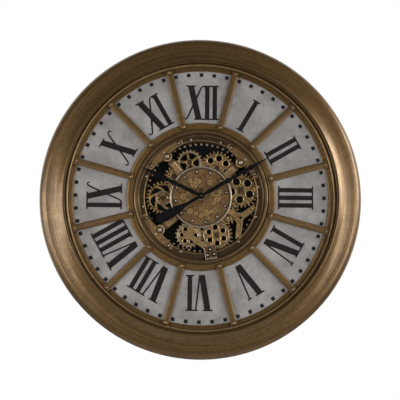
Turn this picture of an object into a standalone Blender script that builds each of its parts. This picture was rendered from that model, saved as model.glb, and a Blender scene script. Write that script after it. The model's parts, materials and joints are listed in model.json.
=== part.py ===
"""Industrial gear wall clock, 800 mm across, built as an assembly of separate pieces.

The clock faces -Y and hangs on a wall at Y = 0. The dial's axis is the Y axis, and +Z is up.
Sizes are in millimetres. A depth is a distance in front of the wall. A clock angle is in degrees,
clockwise from twelve as seen from the front, and a bearing is anticlockwise from +X.
"""

import math
from dataclasses import dataclass

import bmesh
import bpy

MM = 0.001

# Clearances
GAP = 0.3
GEAR_SIDE_GAP = 1.0
WALL_GAP = 2.3
HAND_GAP = 1.0

# How finely round shapes are divided
RIM_SEGMENTS = 40
WINDOW_SEGMENTS = 32
SHAFT_SIDES = 12
POST_SIDES = 8
HOLE_SIDES = 8
RIVET_SIDES = 6
OVOLO_STEPS = 3
COVE_STEPS = 3
SEGMENT_STEPS = 6
HUB_ARC_STEPS = 3
WINDOW_ARC_STEPS = 2
PADDLE_STEPS = 7
SHARP_ANGLE = 32.0

# How far a cutter or a joined foot reaches past the face it crosses
CUT_PAST = 1.0

# Outer frame: side, ovolo, shelf, cove, crest, groove and lip, from the outside in
OVERALL_DIAMETER = 800.0
FRAME_SHEET = 1.6
FLANGE_WIDTH = 16.0
SIDE_TAPER = 12.0
OVOLO_RADIUS = 21.0
SHELF_WIDTH = 5.0
COVE_WIDTH = 27.0
COVE_HEIGHT = 10.0
CREST_WIDTH = 4.0
CREST_RISE = 21.0
CREST_WALL = 2.0
GROOVE_WIDTH = 2.0
GROOVE_RISE = 1.5
LIP_WIDTH = 7.0
LIP_RISE = 7.5

# Dial, bands and spokes
DIAL_THICKNESS = 5.7
DIAL_TUCK = 8.0
BAND_THICKNESS = 4.0
BAND_BEVEL = 1.5
OUTER_BAND_WIDTH = 11.7
INNER_BAND_WIDTH = 18.4
SPOKE_COUNT = 12
SPOKE_FIRST_ANGLE = 15.0
SPOKE_WIDTH = 19.0
SPOKE_OVERLAP_THICKNESS = 2.5
SPOKE_BEVEL = 1.6
SPOKE_INNER_INSET = 7.5
SPOKE_OUTER_INSET = 1.0
RIVET_RADIUS = 5.0
RIVET_HEIGHT = 3.0
RIVET_INSET = 5.6

# Round heads: how far they sink in, and their edge and shoulder as shares of radius and height
DOME_SINK = 0.5
DOME_EDGE = 0.2
DOME_SHOULDER = 0.76

# Window bezel
SKIRT_THICKNESS = 1.6
LEDGE_OVERHANG = 8.1
LEDGE_THICKNESS = 2.5
LEDGE_BEAD = 1.2
BEZEL_COVE_WIDTH = 12.0
BEZEL_COVE_DEPTH = 12.4
BEZEL_RIM = 1.6
BEZEL_WEB = 5.2
BEZEL_FLANGE_WIDTH = 12.3
BEZEL_FLANGE_THICKNESS = 2.0

# Gear train
MODULE = 3.08
PRESSURE_ANGLE = 20.0
ADDENDUM = 0.95
DEDENDUM = 1.25
BACKLASH = 0.5
GEAR_THICKNESS = 4.0
FIRST_GEAR_X = -30.7
FIRST_GEAR_Z = -1.0
TRAIN_CLEARANCE = 4.0

# Posts that carry the gears, and the plate that carries the posts
PLATE_THICKNESS = 2.0
PLATE_EDGE = 1.5
POST_RADIUS = 4.0
POST_COLLAR_RADIUS = 7.0
POST_TENON_RADIUS = 2.5
POST_HEAD_RADIUS = 6.5
POST_HEAD_TOP_RADIUS = 5.2
POST_HEAD_THICKNESS = 1.8

# Fixed toothed ring behind the gears
RING_GEAR_THICKNESS = 3.0
RING_GEAR_RIM = 11.0
RING_GEAR_TEETH = 60
RING_TOOTH_DEPTH = 7.0
RING_TIP_SHARE = 0.18

# Bridges in front of the gears
STRAP_CLEARANCE = 0.6
STRAP_THICKNESS = 2.5
STRAP_WIDTH = 19.0
STRAP_NECK_WIDTH = 11.0
STRAP_NECK_LENGTH = 10.0
DISC_LAP = 14.0
SEGMENT_THICKNESS = 3.0
SEGMENT_DEPTH = 11.0
BOSS_RADIUS = 11.0
BOSS_SCREW_RADIUS = 6.0
BOSS_SCREW_HEIGHT = 4.0
STRAPS = (("top_left", 319.4), ("top_right", 48.5), ("bottom_left", 230.4))
Y_HUB_RADIUS = 12.0
Y_HOLE_RADIUS = 4.5
Y_HUB_DISTANCE = 111.0
Y_HUB_ANGLE = 117.0
Y_OUTER_ANGLES = (100.6, 136.5)
Y_INNER_ANGLE = 116.0
Y_ARM_WIDTH = 14.0
Y_PAD_RADIUS = 4.0
Y_PAD_LAP = 1.0
BRACKET_ANGLE = 170.0
BRACKET_WIDTH = 29.0
BRACKET_LENGTH = 33.0
BRACKET_THICKNESS = 2.5
BRACKET_OVERLAP = 14.5
BRACKET_LIFT = 5.0
BRACKET_FOOT_WIDTH = 18.0
BRACKET_FOOT_LENGTH = 12.0
LOWER_BRIDGE_WIDTH = 14.0

# Centre disc and its pale rim
DISC_RADIUS = 73.0
DISC_THICKNESS = 3.0
DISC_RIM_WIDTH = 4.6
DISC_RIM_HEIGHT = 6.2
DISC_RIM_SHOULDER = 4.4

# Cells, quartz movement and its shafts
CELL_DIAMETER = 14.3
CELL_LENGTH = 50.2
CELL_NUB_RADIUS = 2.8
CELL_NUB_LENGTH = 1.3
CASE_CORNER = 5.0
MOVEMENT_WALL = 1.6
MOVEMENT_SIDE_WALL = 2.6
MOVEMENT_BAY_EDGE = 2.5
MOVEMENT_OPENING_GAP = 3.0
SPINDLE_RADIUS = 1.9
SPINDLE_ABOVE_HAND = 3.2
SHAFT_DEPTH_IN_CASE = 5.0
PIPE_WALL = 0.8
PIPE_ABOVE_HAND = 0.4
BUSH_WALL = 1.5
BUSH_LENGTH = 14.0
BUSH_NUT_WALL = 3.2
BUSH_NUT_THICKNESS = 3.0
KNOB_RADIUS = 8.0
KNOB_BEVEL = 1.0
KNOB_THICKNESS = 3.6
KNOB_X = 12.0
KNOB_Z = 11.0
KNOB_STEM_RADIUS = 2.2
KNOB_STEM_LENGTH = 3.0

# Gear motor with its two cells and switch
MOTOR_WALL = 2.2
MOTOR_SIDE_WALL = 4.6
MOTOR_SHAFT_FROM_RIGHT = 24.0
MOTOR_SHAFT_FROM_TOP = 16.0
MOTOR_HEIGHT = 78.0
MOTOR_BAY_EDGE = 3.5
MOTOR_SHAFT_RADIUS = 3.0
MOTOR_SHAFT_IN_CASE = 7.0
SWITCH_TRAVEL = 4.0
SWITCH_LENGTH = 7.0
SWITCH_WIDTH = 5.0
SWITCH_POCKET_DEPTH = 4.0
SWITCH_PROUD = 1.0
SWITCH_RIDGE_INSET = 0.5
SWITCH_FROM_SHAFT = 20.0

# Hands: a swelling is its place as a share of the hand's length, its half width and half length
MINUTE_ANGLE = 59.5
MINUTE_LENGTH = 197.0
MINUTE_TAIL = 131.0
MINUTE_SWELLINGS = ((0.381, 6.5, 8.0), (0.482, 5.0, 4.0), (0.548, 4.0, 4.0), (0.721, 5.5, 5.0))
PADDLE_LENGTH = 72.0
PADDLE_HALF_WIDTH = 12.5
PADDLE_LEAN = 0.62
HOUR_ANGLE = 295.3
HOUR_LENGTH = 160.0
HOUR_SWELLINGS = ((0.469, 7.0, 8.0), (0.631, 5.0, 4.0), (0.756, 9.0, 11.0), (0.863, 3.6, 4.0))
HAND_THICKNESS = 1.5
HAND_HUB_WALL = 5.0
HUB_TURNS = (-65.0, -35.0, 0.0, 35.0, 65.0)
BAR_END = 0.32
BAR_HALF_WIDTH = 3.6
NECK_HALF_WIDTH = 2.0
TIP_HALF_WIDTH = 0.5
HAND_NUT_WALL = 2.6
HAND_NUT_HEIGHT = 6.0

# Hanging plate
HANGER_WIDTH = 56.0
HANGER_HEIGHT = 40.0
HANGER_THICKNESS = 2.0
HANGER_CORNER = 4.0
HANGER_LAP = 14.0
KEYHOLE_RADIUS = 6.5
KEYHOLE_SLOT_HALF = 2.8
KEYHOLE_RISE = 12.0
KEYHOLE_EDGE = 11.0


@dataclass
class Finish:
    """Colour and shine of one material."""

    name: str
    colour: tuple
    roughness: float
    metallic: float


@dataclass
class Gear:
    """One wheel of the train: its teeth, its bearing from the wheel before, and its web's openings.

    style is holes, windows or plain. Openings count round the web at open_radius, each open_size
    across its half width, and open_size is the spoke's width where the style is windows.
    """

    place: str
    teeth: int
    bearing: float
    style: str
    openings: int = 0
    open_radius: float = 0.0
    open_size: float = 0.0
    twist: float = 0.0


TRAIN = (
    Gear("left", 26, 0.0, "windows", 5, 10.0, 5.0, 38.0),
    Gear("drive", 14, 64.8, "plain"),
    Gear("top_left", 20, 41.9, "windows", 5, 8.5, 6.0),
    Gear("top_right", 26, -10.9, "holes", 7, 25.5, 8.0),
    Gear("right", 27, -42.3, "holes", 5, 24.0, 9.6),
    Gear("right_idler", 16, -117.8, "plain"),
    Gear("bottom_right", 25, -118.5, "holes", 6, 20.0, 7.0),
    Gear("bottom_left", 20, 180.7, "holes", 6, 17.0, 5.5),
)
DRIVE = "drive"

BRONZE = Finish("antique_bronze", (0.21, 0.12, 0.055), 0.38, 0.85)
BRASS = Finish("aged_brass", (0.32, 0.2, 0.085), 0.42, 0.85)
BRIGHT = Finish("pale_wire", (0.52, 0.44, 0.33), 0.35, 0.9)
DIAL = Finish("pale_dial", (0.5, 0.47, 0.45), 0.7, 0.0)
OLIVE = Finish("dark_olive", (0.12, 0.09, 0.05), 0.45, 0.8)
BLACK = Finish("black_paint", (0.012, 0.012, 0.012), 0.45, 0.2)
PLASTIC = Finish("black_plastic", (0.02, 0.02, 0.02), 0.5, 0.0)
STEEL = Finish("zinc_steel", (0.5, 0.5, 0.48), 0.35, 1.0)
CELL = Finish("cell_jacket", (0.1, 0.12, 0.16), 0.4, 0.3)


def bore(shaft_radius, sides=SHAFT_SIDES):
    """Corner radius of a faceted hole that clears a turning shaft by GAP."""
    return (shaft_radius + GAP) / math.cos(math.pi / sides)


def across_flats(corner_radius, segments):
    """Distance from a faceted ring's axis to the middle of its flats."""
    return corner_radius * math.cos(math.pi / segments)


def polar(radius, angle):
    """Point (x, z) at a clock angle."""
    turn = math.radians(angle)
    return (radius * math.sin(turn), radius * math.cos(turn))


def arc(centre, radius, start, end, steps):
    """Points on an arc, by bearing, both ends included."""
    points = []
    for step in range(steps + 1):
        turn = math.radians(start + (end - start) * step / steps)
        points.append((centre[0] + radius * math.cos(turn), centre[1] + radius * math.sin(turn)))
    return points


def circle(centre, radius, sides):
    """Closed circle of points, the first at bearing 0."""
    return arc(centre, radius, 0, 360 - 360 / sides, sides - 1)


def rounded_box(left, bottom, right, top, corner):
    """Rectangle with rounded corners."""
    return (
        arc((right - corner, bottom + corner), corner, -90, 0, 2)
        + arc((right - corner, top - corner), corner, 0, 90, 2)
        + arc((left + corner, top - corner), corner, 90, 180, 2)
        + arc((left + corner, bottom + corner), corner, 180, 270, 2)
    )


def material_for(finish):
    """The finish's material, made once."""
    found = bpy.data.materials.get(finish.name)
    if found:
        return found
    material = bpy.data.materials.new(finish.name)
    material.use_nodes = True
    shader = material.node_tree.nodes["Principled BSDF"]
    shader.inputs["Base Color"].default_value = (*finish.colour, 1.0)
    shader.inputs["Roughness"].default_value = finish.roughness
    shader.inputs["Metallic"].default_value = finish.metallic
    material.diffuse_color = (*finish.colour, 1.0)
    return material


def place(name, mesh, finish, at=(0.0, 0.0), clock_angle=0.0):
    """Makes an object with its origin on its own axis, at (x, z), turned to a clock angle."""
    item = bpy.data.objects.new(name, mesh)
    item.location = (at[0] * MM, 0.0, at[1] * MM)
    item.rotation_euler = (0.0, math.radians(clock_angle), 0.0)
    bpy.context.scene.collection.objects.link(item)
    if not mesh.materials:
        mesh.materials.append(material_for(finish))
    return item


def finish_mesh(shape, name):
    """Turns the bmesh's faces outwards and stores it as a mesh."""
    bmesh.ops.remove_doubles(shape, verts=shape.verts, dist=1e-6)
    bmesh.ops.recalc_face_normals(shape, faces=shape.faces)
    mesh = bpy.data.meshes.new(name)
    shape.to_mesh(mesh)
    shape.free()
    return mesh


def plate_mesh(name, outline, holes, back, front):
    """Flat plate between two depths, from an outline and its holes in (x, z)."""
    shape = bmesh.new()
    edges = []
    for loop in [outline, *holes]:
        verts = [shape.verts.new((x * MM, -back * MM, z * MM)) for x, z in loop]
        for index, vert in enumerate(verts):
            edges.append(shape.edges.new((vert, verts[(index + 1) % len(verts)])))
    filled = bmesh.ops.triangle_fill(shape, use_beauty=True, use_dissolve=False, edges=edges)
    faces = [item for item in filled["geom"] if isinstance(item, bmesh.types.BMFace)]
    grown = bmesh.ops.extrude_face_region(shape, geom=faces)
    moved = [item for item in grown["geom"] if isinstance(item, bmesh.types.BMVert)]
    bmesh.ops.translate(shape, vec=(0.0, (back - front) * MM, 0.0), verts=moved)
    return finish_mesh(shape, name)


def turned_mesh(name, profile, sides, closed=True):
    """Revolves a profile of (radius, depth) points about the depth axis."""
    shape = bmesh.new()
    verts = [shape.verts.new((radius * MM, -depth * MM, 0.0)) for radius, depth in profile]
    edges = [shape.edges.new(pair) for pair in zip(verts, verts[1:])]
    if closed:
        edges.append(shape.edges.new((verts[-1], verts[0])))
    bmesh.ops.spin(
        shape,
        geom=verts + edges,
        cent=(0.0, 0.0, 0.0),
        axis=(0.0, 1.0, 0.0),
        angle=math.tau,
        steps=sides,
        use_merge=True,
    )
    return finish_mesh(shape, name)


def combine(target, tool, operation):
    """Joins the tool to the target, or cuts it away, and keeps the result as the target's mesh."""
    step = target.modifiers.new(operation.title(), "BOOLEAN")
    step.operation = operation
    step.solver = "EXACT"
    step.object = tool
    graph = bpy.context.evaluated_depsgraph_get()
    result = bpy.data.meshes.new_from_object(target.evaluated_get(graph))
    target.modifiers.remove(step)
    target.data = result
    bpy.data.objects.remove(tool)


def helper(mesh, at=(0.0, 0.0)):
    """An object that only joins or cuts another one."""
    return place("tool", mesh, BRASS, at)


def box_mesh(low, high):
    """Box between two corners given as (x, depth, z)."""
    outline = ((low[0], low[2]), (high[0], low[2]), (high[0], high[2]), (low[0], high[2]))
    return plate_mesh("box", outline, [], low[1], high[1])


def drill_mesh(radius, back, front, sides):
    """Round bar between two depths, on the depth axis."""
    return turned_mesh("drill", [(0.0, back), (radius, back), (radius, front), (0.0, front)], sides, False)


def dome_mesh(radius, height, base, sides):
    """Low round head standing on a depth, sunk a little so that it joins what it stands on."""
    sunk = base - DOME_SINK
    profile = [(0.0, sunk), (radius, sunk), (radius, base + DOME_EDGE * height)]
    profile += [(DOME_SHOULDER * radius, base + DOME_SHOULDER * height), (0.0, base + height)]
    return turned_mesh("dome", profile, sides, closed=False)


# Depths, from the wall forward
motor_case_depth = CELL_DIAMETER + 2 * GAP + MOTOR_WALL
plate_back = WALL_GAP + motor_case_depth + GAP
plate_front = plate_back + PLATE_THICKNESS
ring_gear_back = plate_front + GAP
ring_gear_front = ring_gear_back + RING_GEAR_THICKNESS
gear_back = ring_gear_front + GEAR_SIDE_GAP
gear_front = gear_back + GEAR_THICKNESS
post_front = gear_front + GAP + POST_HEAD_THICKNESS
strap_back = post_front + STRAP_CLEARANCE
strap_front = strap_back + STRAP_THICKNESS
disc_back = strap_front + GAP
disc_front = disc_back + DISC_THICKNESS
segment_front = disc_back + SEGMENT_THICKNESS
ledge_back = segment_front + GAP
ledge_front = ledge_back + LEDGE_THICKNESS
band_front = ledge_front + BEZEL_COVE_DEPTH
band_back = band_front - BAND_THICKNESS
dial_front = band_back - GAP
dial_back = dial_front - DIAL_THICKNESS
bezel_flange_front = dial_back - GAP
lip_back = band_back
spoke_lap_back = band_front + GAP
spoke_front = spoke_lap_back + SPOKE_OVERLAP_THICKNESS
rivet_front = spoke_front + RIVET_HEIGHT
hour_back = rivet_front + HAND_GAP
hour_front = hour_back + HAND_THICKNESS
minute_back = hour_front + HAND_GAP
minute_front = minute_back + HAND_THICKNESS
crest_depth = band_front + CREST_RISE
movement_depth = CELL_DIAMETER + 2 * GAP + MOVEMENT_WALL
movement_front = disc_back - GAP
movement_back = movement_front - movement_depth

# Radii of the shafts at the centre
pipe_inner = bore(SPINDLE_RADIUS)
pipe_outer = pipe_inner + PIPE_WALL
bush_inner = bore(pipe_outer)
bush_outer = bush_inner + BUSH_WALL
tenon_hole = bore(POST_TENON_RADIUS, POST_SIDES)
post_bore = bore(POST_RADIUS, POST_SIDES)


def root_radius(teeth):
    """Radius at the bottom of a gear's tooth gaps."""
    return MODULE * (teeth / 2 - DEDENDUM)


def tip_radius(teeth):
    """Radius at a gear's tooth tips."""
    return MODULE * (teeth / 2 + ADDENDUM)


def train_places():
    """Centre and bearing of each gear, so that each tooth stands in a gap of its neighbour."""
    x = FIRST_GEAR_X * MODULE
    z = FIRST_GEAR_Z * MODULE
    turn = 0.0
    places = {TRAIN[0].place: (x, z, turn)}
    for before, gear in zip(TRAIN, TRAIN[1:]):
        bearing = math.radians(gear.bearing)
        distance = MODULE * (before.teeth + gear.teeth) / 2
        x += distance * math.cos(bearing)
        z += distance * math.sin(bearing)
        pitches = (bearing - turn) * before.teeth / math.tau
        turn = bearing + math.pi - (0.5 - pitches) * math.tau / gear.teeth
        places[gear.place] = (x, z, turn)
    return places


PLACES = train_places()


def train_reach():
    """Distance from the dial's axis to the farthest tooth tip."""
    reaches = []
    for gear in TRAIN:
        x, z, _ = PLACES[gear.place]
        reaches.append(math.hypot(x, z) + tip_radius(gear.teeth))
    return max(reaches)


# Radii of the rings, the inner ones from the gears outward and the outer ones from the rim inward
skirt_inner = train_reach() + TRAIN_CLEARANCE
skirt_outer = skirt_inner + SKIRT_THICKNESS
ledge_inner = skirt_inner - LEDGE_OVERHANG
bezel_rim_outer = skirt_outer + BEZEL_COVE_WIDTH + BEZEL_RIM
dial_inner = bezel_rim_outer + GAP
inner_band_inner = bezel_rim_outer + 2 * GAP
inner_band_outer = inner_band_inner + INNER_BAND_WIDTH
frame_radius = OVERALL_DIAMETER / 2
flange_outer = frame_radius - SIDE_TAPER
flange_inner = flange_outer - FLANGE_WIDTH
ovolo_centre = frame_radius - OVOLO_RADIUS
cove_start = ovolo_centre - SHELF_WIDTH
crest_outer = cove_start - COVE_WIDTH
crest_inner = crest_outer - CREST_WIDTH
groove_outer = crest_inner - CREST_WALL
lip_outer = groove_outer - GROOVE_WIDTH
lip_inner = lip_outer - LIP_WIDTH
outer_band_outer = lip_inner - GAP
outer_band_inner = outer_band_outer - OUTER_BAND_WIDTH
plate_radius = skirt_outer + PLATE_EDGE
disc_rim_inner = DISC_RADIUS + GAP
bridge_inner_end = DISC_RADIUS - DISC_LAP
chord_distance = ledge_inner - SEGMENT_DEPTH


def frame_skin(offset):
    """The frame's skin from the flange to the shelf and up the cove, set inward by an offset."""
    widest = crest_depth - COVE_HEIGHT - OVOLO_RADIUS
    skin = []
    for turn in (math.radians(90), math.radians(45)):
        radius = flange_outer + (SIDE_TAPER - offset) * math.cos(turn)
        skin.append((radius, widest - (widest - offset) * math.sin(turn)))
    skin += arc((ovolo_centre, widest), OVOLO_RADIUS - offset, 0, 90, OVOLO_STEPS)
    sweep = (COVE_WIDTH**2 + COVE_HEIGHT**2) / (2 * COVE_HEIGHT)
    steepest = math.asin(COVE_WIDTH / sweep)
    centre_depth = crest_depth - COVE_HEIGHT + sweep
    for step in range(COVE_STEPS + 1):
        turn = steepest * step / COVE_STEPS
        radius = cove_start - (sweep + offset) * math.sin(turn)
        skin.append((radius, centre_depth - (sweep + offset) * math.cos(turn)))
    return skin


def build_outer_frame():
    """Hollow sheet moulding, open at the back, with a flat flange against the wall."""
    groove_depth = band_front + GROOVE_RISE
    lip_front = band_front + LIP_RISE
    lip_shoulder = lip_front - LIP_WIDTH / 3
    outside = [(flange_inner, 0.0), *frame_skin(0.0), (crest_inner, crest_depth)]
    outside += [(groove_outer, groove_depth), (lip_outer, groove_depth), (lip_outer, lip_shoulder)]
    outside += [(lip_inner + LIP_WIDTH / 2, lip_front), (lip_inner, lip_shoulder), (lip_inner, lip_back)]
    inside = [(groove_outer + FRAME_SHEET, lip_back)]
    inside += [(crest_inner + FRAME_SHEET, crest_depth - 2 * FRAME_SHEET)]
    inside += list(reversed(frame_skin(FRAME_SHEET)[:-1]))
    inside += [(flange_inner, FRAME_SHEET)]
    place("outer_frame", turned_mesh("outer_frame", outside + inside, RIM_SEGMENTS), BRONZE)


def build_dial():
    """Dial panel behind the frame's lip, and the two flat bands that edge it."""
    outer = lip_inner + DIAL_TUCK
    rim = circle((0.0, 0.0), outer, RIM_SEGMENTS)
    hole = circle((0.0, 0.0), dial_inner, WINDOW_SEGMENTS)
    place("dial_plate", plate_mesh("dial_plate", rim, [hole], dial_back, dial_front), DIAL)
    bevel = BAND_BEVEL
    wide = [(outer_band_inner, band_back), (outer_band_outer, band_back), (outer_band_outer, band_front)]
    wide += [(outer_band_inner + bevel, band_front), (outer_band_inner, band_front - bevel)]
    place("outer_band", turned_mesh("outer_band", wide, RIM_SEGMENTS), BRASS)
    narrow = [(inner_band_inner, band_back), (inner_band_outer, band_back)]
    narrow += [(inner_band_outer, band_front - bevel), (inner_band_outer - bevel, band_front)]
    narrow += [(inner_band_inner, band_front)]
    place("inner_band", turned_mesh("inner_band", narrow, WINDOW_SEGMENTS), BRASS)


def spoke_mesh():
    """Bar between the bands with a lapped foot and a rivet head at each end, along +Z."""
    inner_end = inner_band_inner + SPOKE_INNER_INSET
    outer_end = outer_band_outer - SPOKE_OUTER_INSET
    inner_step = inner_band_outer + GAP
    outer_step = across_flats(outer_band_inner, RIM_SEGMENTS) - GAP
    side_view = [(inner_end, spoke_front), (inner_end, spoke_lap_back), (inner_step, spoke_lap_back)]
    side_view += [(inner_step, band_back), (outer_step, band_back), (outer_step, spoke_lap_back)]
    side_view += [(outer_end, spoke_lap_back), (outer_end, spoke_front)]
    half = SPOKE_WIDTH / 2
    shape = bmesh.new()
    verts = [shape.verts.new((-half * MM, -depth * MM, reach * MM)) for reach, depth in side_view]
    side = shape.faces.new(verts)
    grown = bmesh.ops.extrude_face_region(shape, geom=[side])
    moved = [item for item in grown["geom"] if isinstance(item, bmesh.types.BMVert)]
    bmesh.ops.translate(shape, vec=(SPOKE_WIDTH * MM, 0.0, 0.0), verts=moved)
    long_edges = []
    for edge in shape.edges:
        first, second = [vert.co for vert in edge.verts]
        forward = min(-first.y, -second.y) > (spoke_front - GAP) * MM
        if forward and abs(first.z - second.z) > half * MM:
            long_edges.append(edge)
    bmesh.ops.bevel(shape, geom=long_edges, offset=SPOKE_BEVEL * MM, segments=1, affect="EDGES")
    bar = helper(finish_mesh(shape, "spoke"))
    for reach in (inner_end + RIVET_INSET, outer_end - RIVET_INSET):
        rivet = dome_mesh(RIVET_RADIUS, RIVET_HEIGHT, spoke_front, RIVET_SIDES)
        combine(bar, helper(rivet, (0.0, reach)), "UNION")
    mesh = bar.data
    bpy.data.objects.remove(bar)
    return mesh


def build_spokes():
    """Twelve equal spokes between the numerals."""
    mesh = spoke_mesh()
    for index in range(SPOKE_COUNT):
        angle = SPOKE_FIRST_ANGLE + index * 360 / SPOKE_COUNT
        place(f"spoke_{index + 1:02d}", mesh, BRASS, clock_angle=angle)


def build_bezel():
    """Stepped ring round the gear window: rim, cove, ledge, and a skirt down to the plate."""
    cove = []
    for step in range(COVE_STEPS + 1):
        turn = math.pi / 2 * step / COVE_STEPS
        radius = skirt_outer + BEZEL_COVE_WIDTH * math.sin(turn)
        cove.append((radius, band_front - BEZEL_COVE_DEPTH * math.cos(turn)))
    flange_back = bezel_flange_front - BEZEL_FLANGE_THICKNESS
    edge = bezel_rim_outer + BEZEL_FLANGE_WIDTH
    foot = plate_front + GAP
    profile = [(bezel_rim_outer, band_front), (bezel_rim_outer, bezel_flange_front)]
    profile += [(edge, bezel_flange_front), (edge, flange_back)]
    profile += [(bezel_rim_outer - BEZEL_WEB, flange_back), (skirt_outer, ledge_back)]
    profile += [(skirt_outer, foot), (skirt_inner, foot), (skirt_inner, ledge_back)]
    profile += [(ledge_inner, ledge_back), (ledge_inner, ledge_front + LEDGE_BEAD)]
    profile += [(ledge_inner + 2 * LEDGE_BEAD, ledge_front), *cove]
    place("window_bezel", turned_mesh("window_bezel", profile, WINDOW_SEGMENTS), OLIVE)


def movement_opening():
    """Half the side of the square opening behind the movement."""
    return CELL_LENGTH / 2 + GAP + MOVEMENT_SIDE_WALL + MOVEMENT_OPENING_GAP


def build_module_plate():
    """Round plate behind the gears, with holes for the posts, the motor's shaft and the movement."""
    half = movement_opening()
    holes = [((-half, -half), (half, -half), (half, half), (-half, half))]
    for gear in TRAIN:
        x, z, _ = PLACES[gear.place]
        radius = bore(MOTOR_SHAFT_RADIUS, POST_SIDES) if gear.place == DRIVE else tenon_hole
        holes.append(circle((x, z), radius, POST_SIDES))
    outline = circle((0.0, 0.0), plate_radius, WINDOW_SEGMENTS)
    mesh = plate_mesh("module_plate", outline, holes, plate_back, plate_front)
    place("module_plate", mesh, BLACK)


def build_ring_gear():
    """Fixed ring with inward teeth, lying on the plate inside the skirt."""
    outer = skirt_inner - GAP
    root = outer - RING_GEAR_RIM
    tip = root - RING_TOOTH_DEPTH
    pitch = 360 / RING_GEAR_TEETH
    inside = []
    for tooth in range(RING_GEAR_TEETH):
        centre = tooth * pitch
        for radius, share in ((root, -0.5), (tip, -RING_TIP_SHARE), (tip, RING_TIP_SHARE)):
            inside.append(polar(radius, centre + share * pitch))
    outline = circle((0.0, 0.0), outer, WINDOW_SEGMENTS)
    mesh = plate_mesh("ring_gear", outline, [inside], ring_gear_back, ring_gear_front)
    place("ring_gear", mesh, BRASS)


def involute(angle):
    """The involute function of an angle in radians."""
    return math.tan(angle) - angle


def tooth_half_angle(radius, teeth):
    """Half the angle that a tooth covers at a radius, thinned by half the backlash."""
    pitch_radius = MODULE * teeth / 2
    pressure = math.radians(PRESSURE_ANGLE)
    base = pitch_radius * math.cos(pressure)
    here = math.acos(base / max(radius, base))
    full = math.pi / (2 * teeth) + involute(pressure) - involute(here)
    return full - BACKLASH / (2 * pitch_radius)


def gear_outline(teeth):
    """Toothed outline with a tooth at bearing 0."""
    root = root_radius(teeth)
    tip = tip_radius(teeth)
    low = tooth_half_angle(root, teeth)
    high = tooth_half_angle(tip, teeth)
    points = []
    for tooth in range(teeth):
        centre = math.tau * tooth / teeth
        for radius, shift in ((root, -low), (tip, -high), (tip, high), (root, low)):
            turn = centre + shift
            points.append((radius * math.cos(turn), radius * math.sin(turn)))
    return points


def window_outline(gear, index):
    """One opening between two spokes of a wheel, swept by the gear's twist from hub to rim."""
    inner = gear.open_radius
    outer = root_radius(gear.teeth) - MODULE
    middle = (inner + outer) / 2
    pitch = 360 / gear.openings
    spoke_half = gear.open_size / 2

    def edge(radius, side):
        """Bearing of the window's edge at a radius, on either side."""
        shrink = math.degrees(math.asin(spoke_half / radius))
        sweep = gear.twist * (radius - inner) / (outer - inner)
        return index * pitch + sweep + side * (pitch / 2 - shrink)

    def corner(radius, side):
        """Point on the window's edge at a radius."""
        turn = math.radians(edge(radius, side))
        return (radius * math.cos(turn), radius * math.sin(turn))

    points = [corner(inner, -1), corner(inner, 1), corner(middle, 1)]
    points += arc((0.0, 0.0), outer, edge(outer, 1), edge(outer, -1), WINDOW_ARC_STEPS)
    return [*points, corner(middle, -1)]


def web_openings(gear):
    """Holes or windows in a gear's web."""
    if gear.style == "windows":
        return [window_outline(gear, index) for index in range(gear.openings)]
    holes = []
    for index in range(gear.openings):
        turn = math.tau * (index + 0.5) / gear.openings
        centre = (gear.open_radius * math.cos(turn), gear.open_radius * math.sin(turn))
        holes.append(circle(centre, gear.open_size, HOLE_SIDES))
    return holes


def build_gears():
    """The eight meshed gears, each turning about its own origin."""
    for gear in TRAIN:
        x, z, turn = PLACES[gear.place]
        shaft = bore(MOTOR_SHAFT_RADIUS, POST_SIDES) if gear.place == DRIVE else post_bore
        holes = [circle((0.0, 0.0), shaft, POST_SIDES), *web_openings(gear)]
        name = "drive_gear" if gear.place == DRIVE else f"gear_{gear.place}"
        mesh = plate_mesh(name, gear_outline(gear.teeth), holes, gear_back, gear_front)
        place(name, mesh, BRASS, (x, z), -math.degrees(turn))


def build_posts():
    """Riveted posts: tenon, collar, journal and head."""
    collar_back = plate_front + GAP
    collar_front = gear_back - GAP
    head_back = gear_front + GAP
    profile = [(0.0, plate_back), (POST_TENON_RADIUS, plate_back), (POST_TENON_RADIUS, collar_back)]
    profile += [(POST_COLLAR_RADIUS, collar_back), (POST_COLLAR_RADIUS, collar_front)]
    profile += [(POST_RADIUS, collar_front), (POST_RADIUS, head_back), (POST_HEAD_RADIUS, head_back)]
    profile += [(POST_HEAD_TOP_RADIUS, post_front), (0.0, post_front)]
    mesh = turned_mesh("post", profile, POST_SIDES, closed=False)
    for gear in TRAIN:
        if gear.place != DRIVE:
            x, z, _ = PLACES[gear.place]
            place(f"post_{gear.place}", mesh, STEEL, (x, z))


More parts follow.
